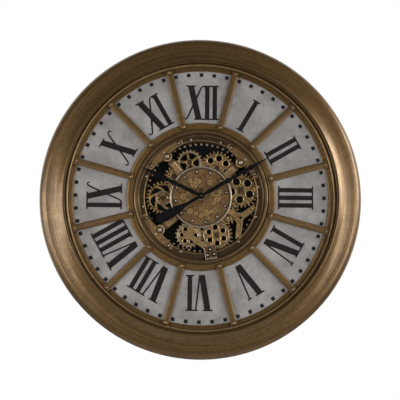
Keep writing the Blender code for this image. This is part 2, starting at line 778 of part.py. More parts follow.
def build_motor():
    """Gear motor with its shaft, two cells and a sliding switch, behind the plate."""
    shaft_x, shaft_z, turn = PLACES[DRIVE]
    width = CELL_LENGTH + 2 * GAP + 2 * MOTOR_SIDE_WALL
    right = shaft_x + MOTOR_SHAFT_FROM_RIGHT
    left = right - width
    top = shaft_z + MOTOR_SHAFT_FROM_TOP
    bottom = top - MOTOR_HEIGHT
    front = WALL_GAP + motor_case_depth
    outline = rounded_box(left, bottom, right, top, CASE_CORNER)
    case = place("motor_case", plate_mesh("motor_case", outline, [], WALL_GAP, front), PLASTIC)
    cell_room = CELL_DIAMETER + 2 * GAP
    bay_low = (left + MOTOR_SIDE_WALL, WALL_GAP - CUT_PAST, bottom + MOTOR_BAY_EDGE)
    bay_high = (right - MOTOR_SIDE_WALL, WALL_GAP + cell_room, bay_low[2] + 2 * cell_room)
    combine(case, helper(box_mesh(bay_low, bay_high)), "DIFFERENCE")
    well_floor = front - MOTOR_SHAFT_IN_CASE - GAP
    well = drill_mesh(bore(MOTOR_SHAFT_RADIUS, POST_SIDES), well_floor, front + CUT_PAST, POST_SIDES)
    combine(case, helper(well, (shaft_x, shaft_z)), "DIFFERENCE")
    pocket_x = shaft_x - SWITCH_FROM_SHAFT - SWITCH_LENGTH - SWITCH_TRAVEL
    pocket_end = pocket_x + SWITCH_LENGTH + SWITCH_TRAVEL + 2 * GAP
    pocket_half = SWITCH_WIDTH / 2 + GAP
    pocket_low = (pocket_x, WALL_GAP - CUT_PAST, shaft_z - pocket_half)
    pocket_high = (pocket_end, WALL_GAP + SWITCH_POCKET_DEPTH, shaft_z + pocket_half)
    combine(case, helper(box_mesh(pocket_low, pocket_high)), "DIFFERENCE")
    build_switch(pocket_x + GAP, shaft_z)
    for index, name in enumerate(("motor_battery_lower", "motor_battery_upper")):
        cell_z = bay_low[2] + cell_room * (index + 0.5)
        build_cell(name, bay_low[0] + GAP, WALL_GAP + CELL_DIAMETER / 2 + GAP, cell_z)
    radius = MOTOR_SHAFT_RADIUS
    profile = [(0.0, front - MOTOR_SHAFT_IN_CASE), (radius, front - MOTOR_SHAFT_IN_CASE)]
    profile += [(radius, plate_front + GAP), (POST_COLLAR_RADIUS, plate_front + GAP)]
    profile += [(POST_COLLAR_RADIUS, gear_back - GAP), (radius, gear_back - GAP)]
    profile += [(radius, gear_front + GAP), (POST_HEAD_RADIUS, gear_front + GAP)]
    profile += [(POST_HEAD_TOP_RADIUS, post_front), (0.0, post_front)]
    mesh = turned_mesh("motor_shaft", profile, POST_SIDES, closed=False)
    place("motor_shaft", mesh, STEEL, (shaft_x, shaft_z), -math.degrees(turn))


def build_switch(left, centre_z):
    """On and off slider in its pocket, with a low ridge to push."""
    half = SWITCH_WIDTH / 2
    seat = WALL_GAP + SWITCH_POCKET_DEPTH - GAP
    body = place("switch_slider", box_mesh((0, WALL_GAP + GAP, -half), (SWITCH_LENGTH, seat, half)), STEEL)
    third = SWITCH_LENGTH / 3
    ridge_half = half - SWITCH_RIDGE_INSET
    ridge = box_mesh((third, WALL_GAP - SWITCH_PROUD, -ridge_half), (2 * third, seat - GAP, ridge_half))
    combine(body, helper(ridge), "UNION")
    body.location = (left * MM, 0.0, centre_z * MM)


def build_cell(name, start_x, depth, z):
    """Round cell lying along X, its nub at the +X end."""
    radius = CELL_DIAMETER / 2
    body = CELL_LENGTH - CELL_NUB_LENGTH
    profile = [(0.0, 0.0), (radius, 0.0), (radius, body), (CELL_NUB_RADIUS, body)]
    profile += [(CELL_NUB_RADIUS, CELL_LENGTH), (0.0, CELL_LENGTH)]
    item = place(name, turned_mesh(name, profile, SHAFT_SIDES, closed=False), CELL)
    item.rotation_euler = (0.0, 0.0, math.radians(90))
    item.location = (start_x * MM, -depth * MM, z * MM)


def build_movement():
    """Quartz movement behind the disc: case with bush, cell, setting knob and the bush's nut."""
    half = CELL_LENGTH / 2 + GAP + MOVEMENT_SIDE_WALL
    outline = rounded_box(-half, -half, half, half, CASE_CORNER)
    block = plate_mesh("movement_case", outline, [], movement_back, movement_front)
    case = place("movement_case", block, PLASTIC)
    bush_front = movement_front + BUSH_LENGTH
    bush = drill_mesh(bush_outer, movement_front - CUT_PAST, bush_front, SHAFT_SIDES)
    combine(case, helper(bush), "UNION")
    floor = movement_front - SHAFT_DEPTH_IN_CASE - GAP
    combine(case, helper(drill_mesh(bush_inner, floor, bush_front + CUT_PAST, SHAFT_SIDES)), "DIFFERENCE")
    room = CELL_DIAMETER + 2 * GAP
    bay_low = (-CELL_LENGTH / 2 - GAP, movement_back - CUT_PAST, -half + MOVEMENT_BAY_EDGE)
    bay_high = (-bay_low[0], movement_back + room, bay_low[2] + room)
    combine(case, helper(box_mesh(bay_low, bay_high)), "DIFFERENCE")
    socket_floor = movement_back + KNOB_STEM_LENGTH + GAP
    stem_bore = bore(KNOB_STEM_RADIUS, POST_SIDES)
    socket = drill_mesh(stem_bore, movement_back - CUT_PAST, socket_floor, POST_SIDES)
    combine(case, helper(socket, (KNOB_X, KNOB_Z)), "DIFFERENCE")
    cell_z = bay_low[2] + room / 2
    build_cell("movement_battery", -CELL_LENGTH / 2, movement_back + CELL_DIAMETER / 2 + GAP, cell_z)
    knob_front = movement_back - GAP
    knob_back = knob_front - KNOB_THICKNESS
    knob = [(0.0, knob_back), (KNOB_RADIUS - KNOB_BEVEL, knob_back), (KNOB_RADIUS, knob_back + KNOB_BEVEL)]
    knob += [(KNOB_RADIUS, knob_front), (KNOB_STEM_RADIUS, knob_front)]
    knob += [(KNOB_STEM_RADIUS, socket_floor - GAP), (0.0, socket_floor - GAP)]
    knob_mesh = turned_mesh("setting_knob", knob, POST_SIDES, closed=False)
    place("setting_knob", knob_mesh, PLASTIC, (KNOB_X, KNOB_Z))
    inner = bore(bush_outer)
    nut = plate_mesh(
        "bush_nut",
        circle((0.0, 0.0), inner + BUSH_NUT_WALL, 6),
        [circle((0.0, 0.0), inner, SHAFT_SIDES)],
        disc_front + GAP,
        disc_front + GAP + BUSH_NUT_THICKNESS,
    )
    place("bush_nut", nut, BRIGHT)


def build_disc():
    """Centre disc on the bridges, with the pale ring round it."""
    outline = circle((0.0, 0.0), DISC_RADIUS, WINDOW_SEGMENTS)
    hole = circle((0.0, 0.0), bore(bush_outer), SHAFT_SIDES)
    place("centre_disc", plate_mesh("centre_disc", outline, [hole], disc_back, disc_front), BRASS)
    outer = disc_rim_inner + DISC_RIM_WIDTH
    shoulder = disc_back + DISC_RIM_SHOULDER
    ring = [(disc_rim_inner, disc_back), (outer, disc_back), (outer, shoulder)]
    ring += [(disc_rim_inner + DISC_RIM_WIDTH / 2, disc_back + DISC_RIM_HEIGHT), (disc_rim_inner, shoulder)]
    place("disc_rim", turned_mesh("disc_rim", ring, WINDOW_SEGMENTS), BRIGHT)


def build_straps():
    """Three segment plates under the ledge, each with a strap that reaches in under the disc."""
    arc_radius = across_flats(skirt_inner, WINDOW_SEGMENTS) - GAP
    half_chord = math.sqrt(arc_radius**2 - chord_distance**2)
    start = math.degrees(math.atan2(chord_distance, half_chord))
    boss = (0.0, chord_distance)
    segment = arc((0.0, 0.0), arc_radius, start, 180 - start, SEGMENT_STEPS)
    segment += arc(boss, BOSS_RADIUS, 180, 360, SEGMENT_STEPS)
    half = STRAP_WIDTH / 2
    neck = STRAP_NECK_WIDTH / 2
    pad_end = chord_distance - BOSS_RADIUS - STRAP_NECK_LENGTH / 2
    lean = math.degrees(math.asin(neck / BOSS_RADIUS))
    strap = [(-half, bridge_inner_end), (half, bridge_inner_end), (half, pad_end)]
    strap.append((neck, pad_end + half - neck))
    strap += arc(boss, BOSS_RADIUS - 2 * GAP, -90 + lean, 270 - lean, SEGMENT_STEPS)
    strap += [(-neck, pad_end + half - neck), (-half, pad_end)]
    segment_shape = plate_mesh("segment_plate", segment, [], disc_back, segment_front)
    strap_shape = plate_mesh("strap", strap, [], strap_back, strap_front)
    screw = dome_mesh(BOSS_SCREW_RADIUS, BOSS_SCREW_HEIGHT, segment_front, POST_SIDES)
    plate = helper(segment_shape)
    combine(plate, helper(screw, boss), "UNION")
    for name, angle in STRAPS:
        place(f"segment_plate_{name}", plate.data, OLIVE, clock_angle=angle)
        place(f"strap_{name}", strap_shape, BRASS, clock_angle=angle)
    bpy.data.objects.remove(plate)


def star_outline(hub, hub_radius, arms):
    """Round hub with straight arms to given ends; arms are (end, width), anticlockwise in order."""
    bearings = []
    for end, width in arms:
        bearing = math.degrees(math.atan2(end[1] - hub[1], end[0] - hub[0]))
        bearings.append((bearing, math.degrees(math.asin(width / 2 / hub_radius))))
    points = []
    for index, (end, width) in enumerate(arms):
        bearing, spread = bearings[index]
        across = math.radians(bearing + 90)
        shift = (math.cos(across) * width / 2, math.sin(across) * width / 2)
        points += [(end[0] - shift[0], end[1] - shift[1]), (end[0] + shift[0], end[1] + shift[1])]
        following, next_spread = bearings[(index + 1) % len(arms)]
        stop = following - next_spread
        while stop <= bearing + spread:
            stop += 360
        points += arc(hub, hub_radius, bearing + spread, stop, HUB_ARC_STEPS)
    return points


def build_bridges():
    """Y-shaped bridge at the lower right, and the lower bridge with its bracket on the ledge."""
    hub = polar(Y_HUB_DISTANCE, Y_HUB_ANGLE)
    pad_radius = ledge_inner + Y_PAD_LAP
    right_pad, low_pad = [polar(pad_radius, angle) for angle in Y_OUTER_ANGLES]
    inner_end = polar(bridge_inner_end, Y_INNER_ANGLE)
    arms = [(right_pad, Y_ARM_WIDTH), (inner_end, Y_ARM_WIDTH), (low_pad, Y_ARM_WIDTH)]
    hole = circle(hub, Y_HOLE_RADIUS, HOLE_SIDES)
    outline = star_outline(hub, Y_HUB_RADIUS, arms)
    bridge = place("y_bridge", plate_mesh("y_bridge", outline, [hole], strap_back, strap_front), BRASS)
    foot_back = strap_front - STRAP_THICKNESS / 2
    for point in (right_pad, low_pad):
        pad = drill_mesh(Y_PAD_RADIUS, foot_back, segment_front, POST_SIDES)
        combine(bridge, helper(pad, point), "UNION")
    x, z, _ = PLACES["bottom_left"]
    foot_reach = ledge_inner - GAP - BRACKET_FOOT_LENGTH / 2 - 2 * LEDGE_BEAD
    outer_end = polar(foot_reach, BRACKET_ANGLE)
    share = bridge_inner_end / math.hypot(x, z)
    arms = [((x * share, z * share), LOWER_BRIDGE_WIDTH), (outer_end, LOWER_BRIDGE_WIDTH)]
    outline = star_outline((x, z), POST_COLLAR_RADIUS + LOWER_BRIDGE_WIDTH / 4, arms)
    place("lower_bridge", plate_mesh("lower_bridge", outline, [], strap_back, strap_front), BRASS)
    half = BRACKET_WIDTH / 2
    top_back = ledge_front + BRACKET_LIFT
    outer = ledge_inner + BRACKET_OVERLAP
    low = (-half, top_back, outer - BRACKET_LENGTH)
    high = (half, top_back + BRACKET_THICKNESS, outer)
    bracket = place("bottom_bracket", box_mesh(low, high), BRASS)
    foot_half = BRACKET_FOOT_WIDTH / 2
    reach = (foot_reach - BRACKET_FOOT_LENGTH / 2, foot_reach + BRACKET_FOOT_LENGTH / 2)
    foot = box_mesh((-foot_half, disc_back, reach[0]), (foot_half, top_back + CUT_PAST, reach[1]))
    combine(bracket, helper(foot), "UNION")
    bracket.rotation_euler = (0.0, math.radians(BRACKET_ANGLE), 0.0)


def hand_outline(stations):
    """Symmetric outline along +Z from (distance, half width) stations in order."""
    right = [(half, reach) for reach, half in stations]
    left = [(-half, reach) for reach, half in reversed(stations)]
    return right + left


def hub_stations(radius):
    """Stations of a round hub about the pivot."""
    turns = [math.radians(turn) for turn in HUB_TURNS]
    return [(radius * math.sin(turn), radius * math.cos(turn)) for turn in turns]


def blade_stations(length, swellings):
    """Stations from the bar past the hub, over the diamonds and beads, to the tip."""
    stations = [(BAR_END * length, BAR_HALF_WIDTH)]
    for share, half_width, half_length in swellings:
        reach = share * length
        stations += [(reach - half_length, NECK_HALF_WIDTH), (reach, half_width)]
        stations.append((reach + half_length, NECK_HALF_WIDTH))
    return [*stations, (length, TIP_HALF_WIDTH)]


def paddle_stations():
    """Stations of the minute hand's leaf-shaped tail, from its end towards the pivot."""
    stations = []
    for step in range(PADDLE_STEPS + 1):
        share = step / PADDLE_STEPS
        half = PADDLE_HALF_WIDTH * math.sin(math.pi * share**PADDLE_LEAN)
        stations.append((-MINUTE_TAIL + PADDLE_LENGTH * share, max(half, NECK_HALF_WIDTH)))
    return stations


def build_hands():
    """Hour hand on its pipe, minute hand on the spindle, and the nut that holds them."""
    pipe_front = hour_front + PIPE_ABOVE_HAND
    start = movement_front - SHAFT_DEPTH_IN_CASE
    pipe = [(pipe_inner, start), (pipe_outer, start), (pipe_outer, pipe_front), (pipe_inner, pipe_front)]
    place("hour_pipe", turned_mesh("hour_pipe", pipe, SHAFT_SIDES), BRIGHT, clock_angle=HOUR_ANGLE)
    tip = minute_front + SPINDLE_ABOVE_HAND
    rod = [(0.0, start), (SPINDLE_RADIUS, start), (SPINDLE_RADIUS, tip), (0.0, tip)]
    spindle = turned_mesh("minute_spindle", rod, SHAFT_SIDES, closed=False)
    place("minute_spindle", spindle, BRIGHT, clock_angle=MINUTE_ANGLE)
    hour_hole = bore(pipe_outer)
    stations = [(-hour_hole - HAND_HUB_WALL, TIP_HALF_WIDTH), *hub_stations(hour_hole + HAND_HUB_WALL)]
    stations += blade_stations(HOUR_LENGTH, HOUR_SWELLINGS)
    hole = circle((0.0, 0.0), hour_hole, SHAFT_SIDES)
    mesh = plate_mesh("hour_hand", hand_outline(stations), [hole], hour_back, hour_front)
    place("hour_hand", mesh, BLACK, clock_angle=HOUR_ANGLE)
    minute_hole = bore(SPINDLE_RADIUS)
    stations = [*paddle_stations(), *hub_stations(minute_hole + HAND_HUB_WALL)]
    stations += blade_stations(MINUTE_LENGTH, MINUTE_SWELLINGS)
    hole = circle((0.0, 0.0), minute_hole, SHAFT_SIDES)
    mesh = plate_mesh("minute_hand", hand_outline(stations), [hole], minute_back, minute_front)
    place("minute_hand", mesh, BLACK, clock_angle=MINUTE_ANGLE)
    base = minute_front + GAP
    wall = minute_hole + HAND_NUT_WALL
    top = base + HAND_NUT_HEIGHT
    nut = [(0.0, tip + GAP), (minute_hole, tip + GAP), (minute_hole, base), (wall, base)]
    nut += [(wall, top - wall / 2), (wall / 2, top), (0.0, top)]
    mesh = turned_mesh("hand_nut", nut, SHAFT_SIDES, closed=False)
    place("hand_nut", mesh, BRIGHT, clock_angle=MINUTE_ANGLE)


def build_hanger():
    """Keyhole plate inside the frame's flange at the top."""
    bottom = flange_inner + HANGER_LAP - HANGER_HEIGHT
    top = bottom + HANGER_HEIGHT
    half = HANGER_WIDTH / 2
    entry = (0.0, bottom + KEYHOLE_EDGE)
    slot_top = (0.0, entry[1] + KEYHOLE_RISE)
    lean = math.degrees(math.asin(KEYHOLE_SLOT_HALF / KEYHOLE_RADIUS))
    keyhole = arc(entry, KEYHOLE_RADIUS, 90 + lean, 450 - lean, 2 * SEGMENT_STEPS)
    keyhole += arc(slot_top, KEYHOLE_SLOT_HALF, 0, 180, SEGMENT_STEPS)
    outline = rounded_box(-half, bottom, half, top, HANGER_CORNER)
    back = FRAME_SHEET + GAP
    mesh = plate_mesh("hanger", outline, [keyhole], back, back + HANGER_THICKNESS)
    place("hanger", mesh, STEEL)


def shade_round():
    """Smooth shading on round pieces, with sharp edges kept."""
    for mesh in bpy.data.meshes:
        mesh.shade_smooth()
        mesh.set_sharp_from_angle(angle=math.radians(SHARP_ANGLE))


def main():
    """Builds the whole clock."""
    for item in list(bpy.data.objects):
        bpy.data.objects.remove(item)
    build_outer_frame()
    build_dial()
    build_spokes()
    build_bezel()
    build_module_plate()
    build_ring_gear()
    build_gears()
    build_posts()
    build_motor()
    build_movement()
    build_disc()
    build_straps()
    build_bridges()
    build_hands()
    build_hanger()
    shade_round()


main()
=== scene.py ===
"""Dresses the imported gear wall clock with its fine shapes, finishes, lights and camera.

The clock faces -Y, its dial's axis is the Y axis and the wall stands at Y = 0. Sizes are in
millimetres. A depth is a distance in front of the wall, and a clock angle is in degrees,
clockwise from twelve as seen from the front.
"""

import json
import logging
import math
from collections.abc import Callable, Iterable, Sequence
from dataclasses import dataclass, field
from enum import Enum

import bmesh
import bpy
from mathutils import Matrix, Vector

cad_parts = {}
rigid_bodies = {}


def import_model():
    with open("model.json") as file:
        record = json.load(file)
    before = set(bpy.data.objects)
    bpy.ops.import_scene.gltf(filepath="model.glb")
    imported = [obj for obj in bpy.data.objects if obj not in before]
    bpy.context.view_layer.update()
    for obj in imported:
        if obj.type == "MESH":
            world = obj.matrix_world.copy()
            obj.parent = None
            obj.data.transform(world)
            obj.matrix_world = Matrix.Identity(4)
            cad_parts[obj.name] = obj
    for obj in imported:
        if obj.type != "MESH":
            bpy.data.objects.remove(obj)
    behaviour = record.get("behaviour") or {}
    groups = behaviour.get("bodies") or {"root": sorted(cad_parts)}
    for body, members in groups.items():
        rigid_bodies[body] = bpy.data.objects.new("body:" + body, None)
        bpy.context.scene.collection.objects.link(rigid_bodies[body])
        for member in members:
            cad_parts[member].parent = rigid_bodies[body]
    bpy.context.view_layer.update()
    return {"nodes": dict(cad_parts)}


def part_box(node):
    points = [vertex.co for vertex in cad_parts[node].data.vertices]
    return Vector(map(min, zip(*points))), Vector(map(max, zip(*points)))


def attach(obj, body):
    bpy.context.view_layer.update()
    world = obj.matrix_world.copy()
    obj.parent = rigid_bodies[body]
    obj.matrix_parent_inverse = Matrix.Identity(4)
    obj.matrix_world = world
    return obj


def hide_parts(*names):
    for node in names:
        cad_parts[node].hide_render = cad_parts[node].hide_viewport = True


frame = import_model()

MM = 0.001
MERGE_DISTANCE = 1e-6
SMOOTH_ANGLE = math.radians(38)
LOG = logging.getLogger("gear_clock")

Point = tuple[float, float]
Colour = tuple[float, float, float]
Place = tuple[float, float, float]

# How far the printing lies off the dial's axis, and where the segment plates stand round it
PRINT_SHIFT: Point = (-2.2, -0.7)
SEGMENT_ANGLES = {"top_left": 319.4, "top_right": 48.5, "bottom_left": 230.4}


# Operators, as by hand


def deselect_all() -> None:
    """Clears the selection, because an operator acts on all that is selected."""
    for item in bpy.context.view_layer.objects:
        item.select_set(False)


def activate(item: bpy.types.Object) -> None:
    """Selects one object alone and makes it active.

    Args:
        item: The object to select.
    """
    deselect_all()
    item.select_set(True)
    bpy.context.view_layer.objects.active = item


def in_edit_mode(item: bpy.types.Object, work: Callable[[], None]) -> None:
    """Runs edit-mode operators on the whole of a mesh.

    Args:
        item: The object to edit.
        work: The operators to run, with everything in the mesh selected.
    """
    activate(item)
    bpy.ops.object.mode_set(mode="EDIT")
    bpy.ops.mesh.select_all(action="SELECT")
    work()
    bpy.ops.object.mode_set(mode="OBJECT")


def edit_faces(
    item: bpy.types.Object, test: Callable[[bmesh.types.BMFace], bool], work: Callable[[], object]
) -> None:
    """Runs edit-mode operators on the faces that pass a test and no others.

    Args:
        item: The object to edit.
        test: Says whether a face is chosen.
        work: The operators to run, with the chosen faces selected.
    """
    activate(item)
    bpy.ops.object.mode_set(mode="EDIT")
    bpy.ops.mesh.select_mode(type="FACE")
    bpy.ops.mesh.select_all(action="DESELECT")
    shape = bmesh.from_edit_mesh(item.data)
    for face in shape.faces:
        if test(face):
            face.select_set(True)
    bmesh.update_edit_mesh(item.data)
    work()
    bpy.ops.object.mode_set(mode="OBJECT")


def tidy_shell(item: bpy.types.Object) -> None:
    """Merges doubles, drops loose edges and points the faces outwards.

    Args:
        item: The object whose mesh is tidied.
    """

    def work() -> None:
        """Edit-mode part of the tidy."""
        bpy.ops.mesh.remove_doubles(threshold=MERGE_DISTANCE)
        bpy.ops.mesh.delete_loose(use_verts=True, use_edges=True, use_faces=False)
        bpy.ops.mesh.select_all(action="SELECT")
        bpy.ops.mesh.normals_make_consistent(inside=False)

    in_edit_mode(item, work)


def settle(item: bpy.types.Object) -> bpy.types.Object:
    """Applies an object's place, turn and scale, so that its place is in its mesh.

    Args:
        item: The object to settle.

    Returns:
        The same object.
    """
    activate(item)
    bpy.ops.object.transform_apply(location=True, rotation=True, scale=True)
    return item


def apply_modifier(item: bpy.types.Object, kind: str, **settings: object) -> None:
    """Adds a modifier with its settings and applies it.

    Args:
        item: The object that takes the modifier.
        kind: The modifier's type.
        **settings: Its properties by name.
    """
    activate(item)
    step = item.modifiers.new(kind.title(), kind)
    for key, value in settings.items():
        setattr(step, key, value)
    bpy.ops.object.modifier_apply(modifier=step.name)


def soften(item: bpy.types.Object, width: float, segments: int = 2, angle: float = 30.0) -> bpy.types.Object:
    """Rounds the sharp edges of a piece.

    Args:
        item: The piece.
        width: The bevel's width in millimetres.
        segments: How many faces round each edge.
        angle: Edges sharper than this many degrees are rounded.

    Returns:
        The same piece.
    """
    apply_modifier(
        item,
        "BEVEL",
        width=width * MM,
        segments=segments,
        limit_method="ANGLE",
        angle_limit=math.radians(angle),
        harden_normals=False,
    )
    return item


def join(items: Sequence[bpy.types.Object]) -> bpy.types.Object:
    """Joins pieces of one finish into the first of them.

    Args:
        items: The pieces, of which the first stays.

    Returns:
        The joined object.
    """
    deselect_all()
    for item in items:
        item.select_set(True)
    bpy.context.view_layer.objects.active = items[0]
    if len(items) > 1:
        bpy.ops.object.join()
    return items[0]


def cut(item: bpy.types.Object, cutters: Sequence[bpy.types.Object]) -> bpy.types.Object:
    """Cuts separate, non-touching cutters out of a piece, and removes the cutters.

    Args:
        item: The piece to cut.
        cutters: The shapes to take away.

    Returns:
        The same piece.
    """
    tool = join(list(cutters))
    apply_modifier(item, "BOOLEAN", operation="DIFFERENCE", solver="EXACT", object=tool)
    bpy.data.objects.remove(tool)
    return item


def moved(item: bpy.types.Object, at: Point) -> bpy.types.Object:
    """Moves a piece's mesh by (x, z) and returns the piece."""
    item.data.transform(Matrix.Translation((at[0] * MM, 0.0, at[1] * MM)))
    return item


def swung(item: bpy.types.Object, clock_angle: float) -> bpy.types.Object:
    """Turns a piece's mesh about the dial's axis and returns the piece."""
    item.data.transform(Matrix.Rotation(math.radians(clock_angle), 4, "Y"))
    return item


def twin(item: bpy.types.Object, clock_angle: float) -> bpy.types.Object:
    """A copy with its own mesh, turned about the dial's axis.

    Args:
        item: The object to copy.
        clock_angle: The turn in degrees.

    Returns:
        The copy.
    """
    copy = item.copy()
    copy.data = item.data.copy()
    bpy.context.scene.collection.objects.link(copy)
    return swung(copy, clock_angle)


def spread(item: bpy.types.Object, angles: Iterable[float]) -> bpy.types.Object:
    """Joins copies of a piece round the dial into one, and removes the pattern.

    Args:
        item: The pattern, at twelve o'clock.
        angles: The copies' clock angles.

    Returns:
        The joined copies.
    """
    copies = [twin(item, angle) for angle in angles]
    bpy.data.objects.remove(item)
    return join(copies)


# Outlines


def polar(radius: float, angle: float) -> Point:
    """Point (x, z) at a clock angle."""
    turn = math.radians(angle)
    return (radius * math.sin(turn), radius * math.cos(turn))


def around(centre: Point, radius: float, turn: float) -> Point:
    """Point (x, z) at a distance from a centre, by bearing in radians from +X."""
    return (centre[0] + radius * math.cos(turn), centre[1] + radius * math.sin(turn))


def arc(centre: Point, radius: float, start: float, end: float, steps: int) -> list[Point]:
    """Points on an arc in steps, between two bearings in degrees anticlockwise from +X."""
    turns = [math.radians(start + (end - start) * step / steps) for step in range(steps + 1)]
    return [around(centre, radius, turn) for turn in turns]


def ribbon(path: Sequence[Place]) -> list[Point]:
    """Outline of a pen stroke that follows (x, z, width) points.

    Args:
        path: The stroke's points, each with its width.

    Returns:
        The closed outline.
    """
    left, right = [], []
    for index, (x, z, width) in enumerate(path):
        before, after = path[max(index - 1, 0)], path[min(index + 1, len(path) - 1)]
        along = Vector((after[0] - before[0], after[1] - before[1])).normalized() * width / 2
        left.append((x - along.y, z + along.x))
        right.append((x + along.y, z - along.x))
    return [*left, *reversed(right)]


def rounded(points: Sequence[Point], radius: float, steps: int = 3) -> list[Point]:
    """Rounds each corner of a closed profile with a small curve through its shortened sides.

    Args:
        points: The profile's corners in order.
        radius: How far along each side the curve starts, at most 45% of that side.
        steps: Faces on each curve.

    Returns:
        The profile with its corners rounded.
    """
    result = []
    count = len(points)
    for index, point in enumerate(points):
        here = Vector(point)
        before = Vector(points[index - 1]) - here
        after = Vector(points[(index + 1) % count]) - here
        start = here + before.normalized() * min(radius, 0.45 * before.length)
        end = here + after.normalized() * min(radius, 0.45 * after.length)
        for step in range(steps + 1):
            share = step / steps
            mixed = start * (1 - share) ** 2 + here * 2 * share * (1 - share) + end * share**2
            result.append((mixed.x, mixed.y))
    return result


# Primitives shaped into pieces


def loop_of_points(corners: Sequence[Sequence[float]], filled: bool) -> bpy.types.Object:
    """A circle primitive whose vertices are pulled to given corners.

    Args:
        corners: Places (x, y, z) in millimetres, in order round the loop.
        filled: Whether the loop is a face.

    Returns:
        The new object.
    """
    deselect_all()
    fill = "NGON" if filled else "NOTHING"
    bpy.ops.mesh.primitive_circle_add(vertices=len(corners), radius=MM, fill_type=fill)
    item = bpy.context.active_object
    for vertex, corner in zip(item.data.vertices, corners):
        vertex.co = [value * MM for value in corner]
    return item


def turned(profile: Sequence[Point], segments: int = 128) -> bpy.types.Object:
    """Spins a closed profile of (radius, depth) points about the dial's axis.

    Args:
        profile: The section's corners in order.
        segments: Faces round the axis.

    Returns:
        The new object.
    """
    item = loop_of_points([(radius, -depth, 0.0) for radius, depth in profile], False)

    def work() -> None:
        """Edit-mode part of the turning."""
        bpy.ops.mesh.spin(steps=segments, angle=math.tau, center=(0.0, 0.0, 0.0), axis=(0.0, 1.0, 0.0))

    in_edit_mode(item, work)
    tidy_shell(item)
    return item


def washer(
    radii: Point,
    depths: Point,
    corner: float,
    at: Point = (0.0, 0.0),
    segments: int = 24,
    steps: int = 2,
    dip: float = 0.0,
) -> bpy.types.Object:
    """A turned ring or disc with rounded corners.

    Args:
        radii: Its inner and outer radius.
        depths: Depths of its rear and its front.
        corner: How far its corners are rounded.
        at: Its centre (x, z).
        segments: Faces round it.
        steps: Faces on each corner.
        dip: How much lower its front is at the inner radius.

    Returns:
        The new object.
    """
    (inner, outer), (low, top) = radii, depths
    section = rounded([(inner, low), (outer, low), (outer, top), (inner, top - dip)], corner, steps)
    return moved(turned(section, segments), at)


def extruded(corners: Sequence[Place], way: Place) -> bpy.types.Object:
    """Fills a loop of corners and extrudes it.

    Args:
        corners: Places (x, y, z) in millimetres, in order round the face.
        way: How far the face goes, in millimetres.

    Returns:
        The new object.
    """
    item = loop_of_points(corners, True)

    def work() -> None:
        """Edit-mode part of the extrusion."""
        step = tuple(value * MM for value in way)
        bpy.ops.mesh.extrude_region_move(TRANSFORM_OT_translate={"value": step})
        bpy.ops.mesh.select_all(action="SELECT")
        bpy.ops.mesh.normals_make_consistent(inside=False)

    in_edit_mode(item, work)
    return item


def plate(outline: Sequence[Point], back: float, front: float) -> bpy.types.Object:
    """Extrudes an outline of (x, z) corners from one depth to another, as a new object."""
    return extruded([(x, -back, z) for x, z in outline], (0.0, back - front, 0.0))


def bar(
    radius: float, back: float, front: float, at: Point = (0.0, 0.0), sides: int = 32
) -> bpy.types.Object:
    """Round bar along the depth axis between two depths.

    Args:
        radius: The bar's radius.
        back: Depth of its rear end.
        front: Depth of its front end.
        at: Its centre (x, z).
        sides: Faces round it.

    Returns:
        The new object.
    """
    deselect_all()
    bpy.ops.mesh.primitive_cylinder_add(
        vertices=sides,
        radius=radius * MM,
        depth=(front - back) * MM,
        location=(at[0] * MM, -(back + front) / 2 * MM, at[1] * MM),
        rotation=(math.pi / 2, 0.0, 0.0),
    )
    return settle(bpy.context.active_object)


def block(low: Sequence[float], high: Sequence[float]) -> bpy.types.Object:
    """Box between two corners given as (x, depth, z).

    Args:
        low: The low corner.
        high: The high corner.

    Returns:
        The new object.
    """
    deselect_all()
    middle = [(a + b) / 2 * MM for a, b in zip(low, high)]
    size = [(b - a) * MM for a, b in zip(low, high)]
    bpy.ops.mesh.primitive_cube_add(size=1.0, location=(middle[0], -middle[1], middle[2]))
    item = bpy.context.active_object
    item.scale = size
    return settle(item)


def screw_head(radius: float, base: float, height: float, at: Point, slot: float = 0.0) -> bpy.types.Object:
    """Domed head standing on a depth, with a driver slot where slot is its bearing's turn.

    Args:
        radius: The head's radius.
        base: The depth it stands on; the head is sunk a little below it.
        height: The head's height above the base.
        at: Its centre (x, z).
        slot: Clock angle of the slot in degrees, or 0 for a plain rivet.

    Returns:
        The head as a new object.
    """
    rim, dome, sunk = base + 0.25 * height, 0.75 * height, base - 0.6
    profile = [(0.0, sunk), (radius, sunk), (radius, rim)]
    for step in range(1, 6):
        turn = math.radians(18 * step)
        profile.append((radius * math.cos(turn), rim + dome * math.sin(turn)))
    head = turned(profile, 20)
    if slot:
        half_length, half_width = 1.2 * radius, 0.13 * radius
        low, high = base + 0.55 * height, base + 2 * height
        cut(head, [swung(block((-half_length, low, -half_width), (half_length, high, half_width)), slot)])
    return moved(head, at)


def copy_of_node(node: str, width: float, segments: int = 2) -> bpy.types.Object:
    """A merged copy of a CAD node's mesh with softened edges.

    Args:
        node: The CAD node's name.
        width: The bevel's width in millimetres.
        segments: Faces round each softened edge.

    Returns:
        The copy, as a new object.
    """
    source = frame["nodes"][node]
    item = bpy.data.objects.new(f"{node}_copy", source.data.copy())
    bpy.context.scene.collection.objects.link(item)

    def work() -> None:
        """Merges the loose triangles and joins the flat ones."""
        bpy.ops.mesh.remove_doubles(threshold=MERGE_DISTANCE)
        bpy.ops.mesh.dissolve_limited(angle_limit=math.radians(2))

    in_edit_mode(item, work)
    item.data.materials.clear()
    return soften(item, width, segments)


